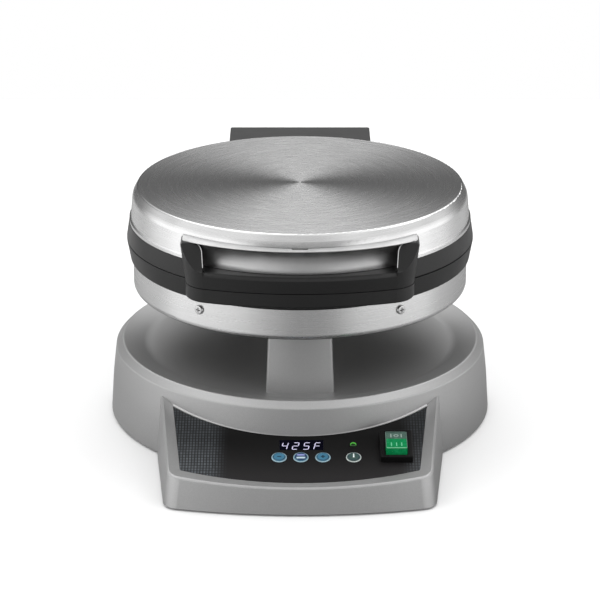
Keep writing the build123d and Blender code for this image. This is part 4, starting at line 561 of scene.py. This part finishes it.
# The timer key's white hand glows a little: painted light, as the hand is print and no lamp.
hand_white_painted_glow = glossy_plastic("key_hand_white", (0.74, 0.80, 0.78, 1.0), 0.35, 0.1, 0.15)
bar_white = glossy_plastic("key_bar_white", (0.52, 0.66, 0.74, 1.0), 0.3, 0.2)
bar_lilac = glossy_plastic("key_bar_lilac", (0.30, 0.34, 0.66, 1.0), 0.3, 0.2)
face_navy = glossy_plastic("key_face_navy", (0.022, 0.058, 0.135, 1.0), 0.3, 0.2)
sign_and_edge_shadow_blue = glossy_plastic("key_sign_dark", (0.008, 0.035, 0.065, 1.0), 0.35, 0.1)

digits = bmesh.new()
for character, across in DIGIT_PLACES:
    seven_segment(digits, character, across, DISPLAY_DOWN)
mesh_piece("display_digits", to_panel(digits, 0, 0), glow_white, "base")

KEY_TOP = 1.4
KEY_FACE = 5.6
SIGN_FOOT = KEY_TOP + 0.02
SIGN_CROWN = KEY_TOP + 0.06
HAND_CROWN = KEY_TOP + 0.07
EDGE_SHADOW_FOOT = KEY_TOP + 0.002
EDGE_SHADOW_TALL = 0.012
EDGE_SHADOW_WIDTH = 0.5
EDGE_SHADOW_STEPS = 36
FACE_HOLE = 0.05
# Each key's signs: length, width, corner round, shift up the slope, look.
KEY_SIGNS = {
    "minus_key": [(4.0, 1.3, 0.4, 0.0, sign_and_edge_shadow_blue)],
    "plus_key": [(4.0, 1.3, 0.4, 0.0, sign_and_edge_shadow_blue), (1.4, 4.0, 0.4, 0.0, sign_and_edge_shadow_blue)],
    "select_key": [(7.4, 2.1, 0.7, 2.3, bar_lilac), (8.2, 2.4, 0.8, -1.8, bar_white)],
}
for key, signs in KEY_SIGNS.items():
    for number, (length, width, corner, shift, look) in enumerate(signs):
        marks = bmesh.new()
        outline = [(x, y + shift) for x, y in rounded_outline(length, width, corner)]
        prism(marks, outline, SIGN_FOOT, SIGN_CROWN)
        title = "%s_sign_%d" % (key, number + 1)
        mesh_piece(title, to_panel(marks, *KEY_PLACES[key]), look, key)

HAND_OUTLINE = [(-0.75, -1.4), (0.75, -1.4), (0.45, 4.2), (-0.45, 4.2)]
hand = bmesh.new()
prism(hand, HAND_OUTLINE, SIGN_FOOT, HAND_CROWN)
mesh_piece("timer_key_hand", to_panel(hand, *KEY_PLACES["timer_key"]), hand_white_painted_glow, "timer_key")


def ring(shape, along, outer, inner, height, tall, count):
    """Adds a low flat ring in the middle of a key or rocker."""
    loops = []
    for radius in (outer, inner):
        for level in (height, height + tall):
            loops.append([
                shape.verts.new((radius * math.cos(turn), along + radius * math.sin(turn), level))
                for turn in (2 * math.pi * index / count for index in range(count))
            ])
    low_out, high_out, low_in, high_in = loops
    for index in range(count):
        after = (index + 1) % count
        shape.faces.new((low_out[index], low_out[after], high_out[after], high_out[index]))
        shape.faces.new((high_out[index], high_out[after], high_in[after], high_in[index]))
        shape.faces.new((high_in[index], high_in[after], low_in[after], low_in[index]))


# Each key gets a painted shadow: a thin dark ring round the edge of its face. On the select key the ring
# takes the navy of its printed face, which also fills the ring's inside.
for key in KEY_PLACES:
    painted_edge_shadow = bmesh.new()
    look = sign_and_edge_shadow_blue
    painted_edge_shadow_inside = KEY_FACE - EDGE_SHADOW_WIDTH
    ring(painted_edge_shadow, 0.0, KEY_FACE, painted_edge_shadow_inside, EDGE_SHADOW_FOOT, EDGE_SHADOW_TALL, EDGE_SHADOW_STEPS)
    if key == "select_key":
        look = face_navy
        ring(painted_edge_shadow, 0.0, painted_edge_shadow_inside, FACE_HOLE, EDGE_SHADOW_FOOT, EDGE_SHADOW_TALL, EDGE_SHADOW_STEPS)
    mesh_piece(key + "_groove", to_panel(painted_edge_shadow, *KEY_PLACES[key]), look, key)


SCREW_LEVEL = 151.0
SCREW_TURN = 35
CROSS_OUT = 167.3
CROSS_LENGTH = 4.96
CROSS_WIDTH = 0.88
CROSS_DEPTH = 0.1


def screw_recess_shadows():
    """Painted shadow in the recesses of the four shell screws: a dark cross at the floor of each."""
    shape = bmesh.new()
    for side in (-1, 1):
        for bearing in (-90, 90):
            turn = Matrix.Rotation(math.radians(bearing + SCREW_TURN * side), 4, "Z")
            centre = Matrix.Translation((0.0, AXIS_Y, SCREW_LEVEL * MM))
            spot = centre @ turn @ Matrix.Translation((CROSS_OUT * MM, 0.0, 0.0))
            for wide, tall in ((CROSS_WIDTH, CROSS_LENGTH), (CROSS_LENGTH, CROSS_WIDTH)):
                bar = bmesh.ops.create_cube(shape, size=1.0)
                size = Matrix.Diagonal((CROSS_DEPTH * MM, wide * MM, tall * MM, 1.0))
                bmesh.ops.transform(shape, matrix=spot @ size, verts=bar["verts"])
    return shape


# The dark crosses in the shell screws' recesses are painted shadow.
mesh_piece("shell_screw_crosses", screw_recess_shadows(), looks["switch_black"], "base")

# The rocker's own frame: X across, Y towards the back along its top, Z out of it.
ROCKER_TILT = math.radians(-9.0)
ROCKER_LIFT = -1.0
ROCKER_CROWN = 10.5
ROCKER_REACH = 16.1
FILM_INSET = 0.4
FILM_FOOT = 2.6
FILM_DRAW = 1.0
FILM_HALF = 9.8
MARK_TALL = 0.12
REAR_MARKS = 7.8
FRONT_MARKS = -8.6
STROKE_ACROSS = 4.8
STROKE_WIDTH = 0.9
STROKE_LENGTH = 6.6
LOOP_OUTER = 2.3
LOOP_INNER = 1.5
LOOP_STEPS = 24
CREST_INSET = 0.75
EDGE_ACROSS = 9.75
EDGE_WIDTH = 0.45
EDGE_INSET = 1.0
mark_pale = moulded("rocker_marks_pale", (0.38, 0.48, 0.44, 1.0), 0.35, 2000.0, 0.00002, 0.05)
mark_green = moulded("rocker_marks_green", (0.20, 0.66, 0.40, 1.0), 0.35, 2000.0, 0.00002, 0.05)
# The pale line on the rocker's crest and the pale lines along its edges are painted highlights; the marks
# are print.
painted_crest_highlight = moulded("rocker_crest_pale", (0.34, 0.80, 0.50, 1.0), 0.3, 2000.0, 0.00002, 0.05)
painted_edge_highlight = moulded("rocker_edge_pale", (0.16, 0.24, 0.21, 1.0), 0.3, 2000.0, 0.00002, 0.05)


def rocker_film():
    """Green layer just inside the clear cover's wall."""
    shape = bmesh.new()
    crown_end = ROCKER_REACH - FILM_INSET
    foot_end = ROCKER_REACH - FILM_DRAW
    crown = ROCKER_CROWN - FILM_INSET
    profile = [(-crown_end, crown), (-foot_end, FILM_FOOT), (foot_end, FILM_FOOT), (crown_end, crown)]
    left, right = [
        [shape.verts.new((side * FILM_HALF, along, high)) for along, high in profile]
        for side in (-1, 1)
    ]
    shape.faces.new(left)
    shape.faces.new(list(reversed(right)))
    for index in range(len(profile)):
        after = (index + 1) % len(profile)
        shape.faces.new((left[after], left[index], right[index], right[after]))
    bmesh.ops.recalc_face_normals(shape, faces=shape.faces)
    return shape


def strip(shape, across, along, width, length):
    """Adds a low bar with rounded ends on the rocker's top."""
    outline = rounded_outline(width, length, min(width, length) * 0.45, 3)
    outline = [(x + across, y + along) for x, y in outline]
    prism(shape, outline, ROCKER_CROWN, ROCKER_CROWN + MARK_TALL)


rear_marks = bmesh.new()
for across in (-STROKE_ACROSS, STROKE_ACROSS):
    strip(rear_marks, across, REAR_MARKS, STROKE_WIDTH, STROKE_LENGTH)
ring(rear_marks, REAR_MARKS, LOOP_OUTER, LOOP_INNER, ROCKER_CROWN, MARK_TALL, LOOP_STEPS)
front_marks = bmesh.new()
for across in (-STROKE_ACROSS, 0.0, STROKE_ACROSS):
    strip(front_marks, across, FRONT_MARKS, STROKE_WIDTH, STROKE_LENGTH)
crest_highlight = bmesh.new()
strip(crest_highlight, 0.0, CREST_INSET - ROCKER_REACH, 19.0, 0.8)
edge_highlights = bmesh.new()
for across in (-EDGE_ACROSS, EDGE_ACROSS):
    strip(edge_highlights, across, 0.6, EDGE_WIDTH, 29.0)
strip(edge_highlights, 0.0, ROCKER_REACH - EDGE_INSET, 18.4, EDGE_WIDTH)
rocker_pieces = (
    ("film", rocker_film(), looks["rocker_green"], "rocker_green"),
    ("rear_marks", rear_marks, mark_pale, "cover_clear"),
    ("front_marks", front_marks, mark_green, "cover_clear"),
    ("crest_highlight", crest_highlight, painted_crest_highlight, "cover_clear"),
    ("edge_highlights", edge_highlights, painted_edge_highlight, "cover_clear"),
)
for title, shape, look, slot in rocker_pieces:
    placed = to_panel(shape, *SWITCH_PLACE, ROCKER_LIFT, ROCKER_TILT)
    mesh_piece("rocker_" + title, placed, look, "rocker")


WALL_RADIUS = 187.9
WALL_FROM = 40.0
WALL_DRAW = 3.4 / 29.0
LIP_RADIUS = 186.6
LIP_END = 121.2
LIP_STEPS = 96
LIP_WIDTH = 0.4
LIP_HEIGHT = 0.3
LIP_EXTRA_WIDTH = 1.7
LIP_EXTRA_HEIGHT = 1.2


def lip_section(turn):
    """Four corners of the lip over the panel, at an angle from the front of the base's axis."""
    radius = WALL_RADIUS
    for _ in range(4):
        level = PANEL_LEVEL + (PANEL_REACH - radius * math.cos(turn)) * math.tan(PANEL_TILT)
        radius = WALL_RADIUS - (level - WALL_FROM) * WALL_DRAW
    swell = (abs(radius * math.sin(turn)) / LIP_END) ** 1.5
    wide = LIP_WIDTH + LIP_EXTRA_WIDTH * swell
    tall = LIP_HEIGHT + LIP_EXTRA_HEIGHT * swell
    fall = wide * math.cos(turn) * math.tan(PANEL_TILT)
    corners = (
        (radius - 0.3, level - 0.1),
        (radius + wide, level - fall + 0.02),
        (radius + wide * 0.55, level - fall * 0.55 + tall * 0.75),
        (radius - 0.2, level + tall),
    )
    return [
        Vector((out * math.sin(turn) * MM, -out * math.cos(turn) * MM + AXIS_Y, high * MM))
        for out, high in corners
    ]


def arc_lip():
    """Moulded lip where the panel meets the round wall; it swells towards the panel's upper corners."""
    shape = bmesh.new()
    end = math.asin(LIP_END / LIP_RADIUS)
    turns = [end * (2 * index / LIP_STEPS - 1) for index in range(LIP_STEPS + 1)]
    rows = [[shape.verts.new(corner) for corner in lip_section(turn)] for turn in turns]
    for first, second in zip(rows, rows[1:]):
        for index in range(3):
            shape.faces.new((first[index], second[index], second[index + 1], first[index + 1]))
    bmesh.ops.recalc_face_normals(shape, faces=shape.faces)
    for face in shape.faces:
        face.smooth = True
    return shape


mesh_piece("panel_arc_lip", arc_lip(), looks["silver_paint"], "base")


# ---------------------------------------------------------------- floor, lights and camera
FLOOR_HALF = 1.15
FLOOR_MIDDLE = 0.055
FLOOR_GREY = 0.86
FLOOR_GLOW = 0.05


def stage_floor():
    """Plain pale floor that keeps the object's shadow; what it throws back on the object dims near it."""
    data = bpy.data.meshes.new("floor")
    corners = [(-FLOOR_HALF, -FLOOR_HALF, 0), (FLOOR_HALF, -FLOOR_HALF, 0),
               (FLOOR_HALF, FLOOR_HALF, 0), (-FLOOR_HALF, FLOOR_HALF, 0)]
    data.from_pydata(corners, [], [(0, 1, 2, 3)])
    floor = bpy.data.objects.new("floor", data)
    bpy.context.scene.collection.objects.link(floor)
    material, tree = new_material("pale_floor")
    path = add(tree, "ShaderNodeLightPath")
    seen = math_node(tree, "MAXIMUM", path.outputs["Is Camera Ray"], path.outputs["Is Transmission Ray"])
    split = add(tree, "ShaderNodeSeparateXYZ", None, {0: place(tree)})
    sideways = math_node(tree, "ABSOLUTE", math_node(tree, "SUBTRACT", split.outputs[0], FLOOR_MIDDLE))
    close = fitted(tree, split.outputs[1], -0.46, -0.28, 1.25, 0.70, True)
    near = fitted(tree, sideways, 0.06, 0.28, 0.0, 1.0, True)
    front = product(tree, close, fitted(tree, near, 0.0, 1.0, 0.26, 0.10))
    near = math_node(tree, "ADD", front, fitted(tree, near, 0.0, 1.0, 0.0, 0.44))
    far = fitted(tree, sideways, 0.30, 0.62, 0.0, 0.42, True)
    depth = fitted(tree, split.outputs[1], -0.12, 0.12, 1.0, 0.62, True)
    level = product(tree, math_node(tree, "ADD", near, far), depth)
    bounce = add(tree, "ShaderNodeCombineColor", None, {index: level for index in range(3)}).outputs[0]
    paint = mix_colours(tree, seen, bounce, grey(FLOOR_GREY))
    diffuse = add(tree, "ShaderNodeBsdfDiffuse", None, {"Color": paint})
    glow = product(tree, seen, FLOOR_GLOW)
    white = add(tree, "ShaderNodeEmission", None, {"Color": grey(1.0), "Strength": glow})
    both = add(tree, "ShaderNodeAddShader", None, {0: diffuse.outputs[0], 1: white.outputs[0]})
    surface(tree, both)
    data.materials.append(material)


def soft_box(name, location, target, width, height, power):
    """Rectangular lamp that faces a point."""
    data = bpy.data.lights.new(name, "AREA")
    data.shape = "RECTANGLE"
    data.size = width
    data.size_y = height
    data.energy = power
    lamp = bpy.data.objects.new(name, data)
    lamp.location = location
    lamp.rotation_euler = (Vector(target) - Vector(location)).to_track_quat("-Z", "Y").to_euler()
    bpy.context.scene.collection.objects.link(lamp)


SIDE_LIGHT = 1.7
OVERHEAD_LIGHT = 1.25
ZENITH_LIGHT = 0.9
FRONT_LIGHT = 0.28
BEHIND_LIGHT = 0.11
LOW_LIGHT = 0.17


def studio_world():
    """White surround for the camera; for the light, bright sides, a dark front and a lit patch overhead."""
    world = bpy.data.worlds.new("studio")
    bpy.context.scene.world = world
    world.use_nodes = True
    tree = world.node_tree
    tree.nodes.clear()
    direction = add(tree, "ShaderNodeTexCoord").outputs["Generated"]
    split = add(tree, "ShaderNodeSeparateXYZ", None, {0: direction})
    x, y, z = split.outputs
    sideways = math_node(tree, "ABSOLUTE", x)
    sides = product(
        tree,
        fitted(tree, sideways, 0.34, 0.72, 0.0, SIDE_LIGHT, True),
        fitted(tree, y, 0.25, 0.75, 1.0, 0.10, True),
        fitted(tree, z, 0.0, 0.50, 1.0, 0.10),
    )
    overhead = product(
        tree,
        fitted(tree, z, 0.30, 0.72, 0.0, OVERHEAD_LIGHT, True),
        fitted(tree, y, -0.50, 0.35, 0.60, 1.0, True),
        fitted(tree, sideways, 0.20, 0.42, 1.0, 1.35, True),
        fitted(tree, sideways, 0.50, 0.68, 1.0, 0.45, True),
    )
    zenith = product(
        tree,
        fitted(tree, z, 0.62, 0.78, 0.0, ZENITH_LIGHT, True),
        fitted(tree, y, -0.42, 0.05, 0.35, 1.1, True),
    )
    above = math_node(tree, "ADD", overhead, zenith)
    above = product(tree, above, fitted(tree, z, 0.82, 0.95, 1.0, 0.22, True))
    front = product(
        tree,
        fitted(tree, y, -0.90, -0.45, FRONT_LIGHT, 0.0, True),
        fitted(tree, z, 0.35, 0.70, 1.0, 0.0, True),
    )
    low_back = fitted(tree, y, 0.45, 0.85, LOW_LIGHT, BEHIND_LIGHT, True)
    level = low_back
    for part in (sides, above, front):
        level = math_node(tree, "ADD", level, part)
    path = add(tree, "ShaderNodeLightPath")
    strength = math_node(tree, "MAXIMUM", path.outputs["Is Camera Ray"], level)
    background = add(tree, "ShaderNodeBackground", None, {"Color": grey(1.0), "Strength": strength})
    output = tree.nodes.new("ShaderNodeOutputWorld")
    tree.links.new(background.outputs[0], output.inputs["Surface"])


stage_floor()
studio_world()
HEAD_MIDDLE = (0.0, 0.0, 0.15)
soft_box("soft_box_left", (-1.8, -0.7, 0.8), HEAD_MIDDLE, 1.6, 1.5, 2.5)
soft_box("soft_box_right", (1.8, -0.7, 0.8), HEAD_MIDDLE, 1.6, 1.5, 1.5)
soft_box("soft_box_panel", (0.0, -0.15, 1.6), (0.0, -0.2, 0.0), 1.7, 1.1, 4.0)
soft_box("soft_box_top", (-0.03, 1.0, 1.7), (0.0, 0.05, 0.2), 0.85, 0.9, 5.0)

CAMERA_LENS = 147.09
CAMERA_SENSOR = 36.0
CAMERA_BACK = 2304.4
CAMERA_HEIGHT = 965.8
CAMERA_DOWN = 20.371
camera_data = bpy.data.cameras.new("camera")
camera_data.lens = CAMERA_LENS
camera_data.sensor_width = CAMERA_SENSOR
camera = bpy.data.objects.new("camera", camera_data)
camera.location = (0.0, -CAMERA_BACK * MM + AXIS_Y, CAMERA_HEIGHT * MM)
camera.rotation_euler = (math.radians(90.0 - CAMERA_DOWN), 0.0, 0.0)
bpy.context.scene.collection.objects.link(camera)
bpy.context.scene.camera = camera
bpy.context.scene.view_settings.view_transform = "Standard"


def plain(box):
    """Box corners as plain lists."""
    return [[float(value) for value in corner] for corner in box]
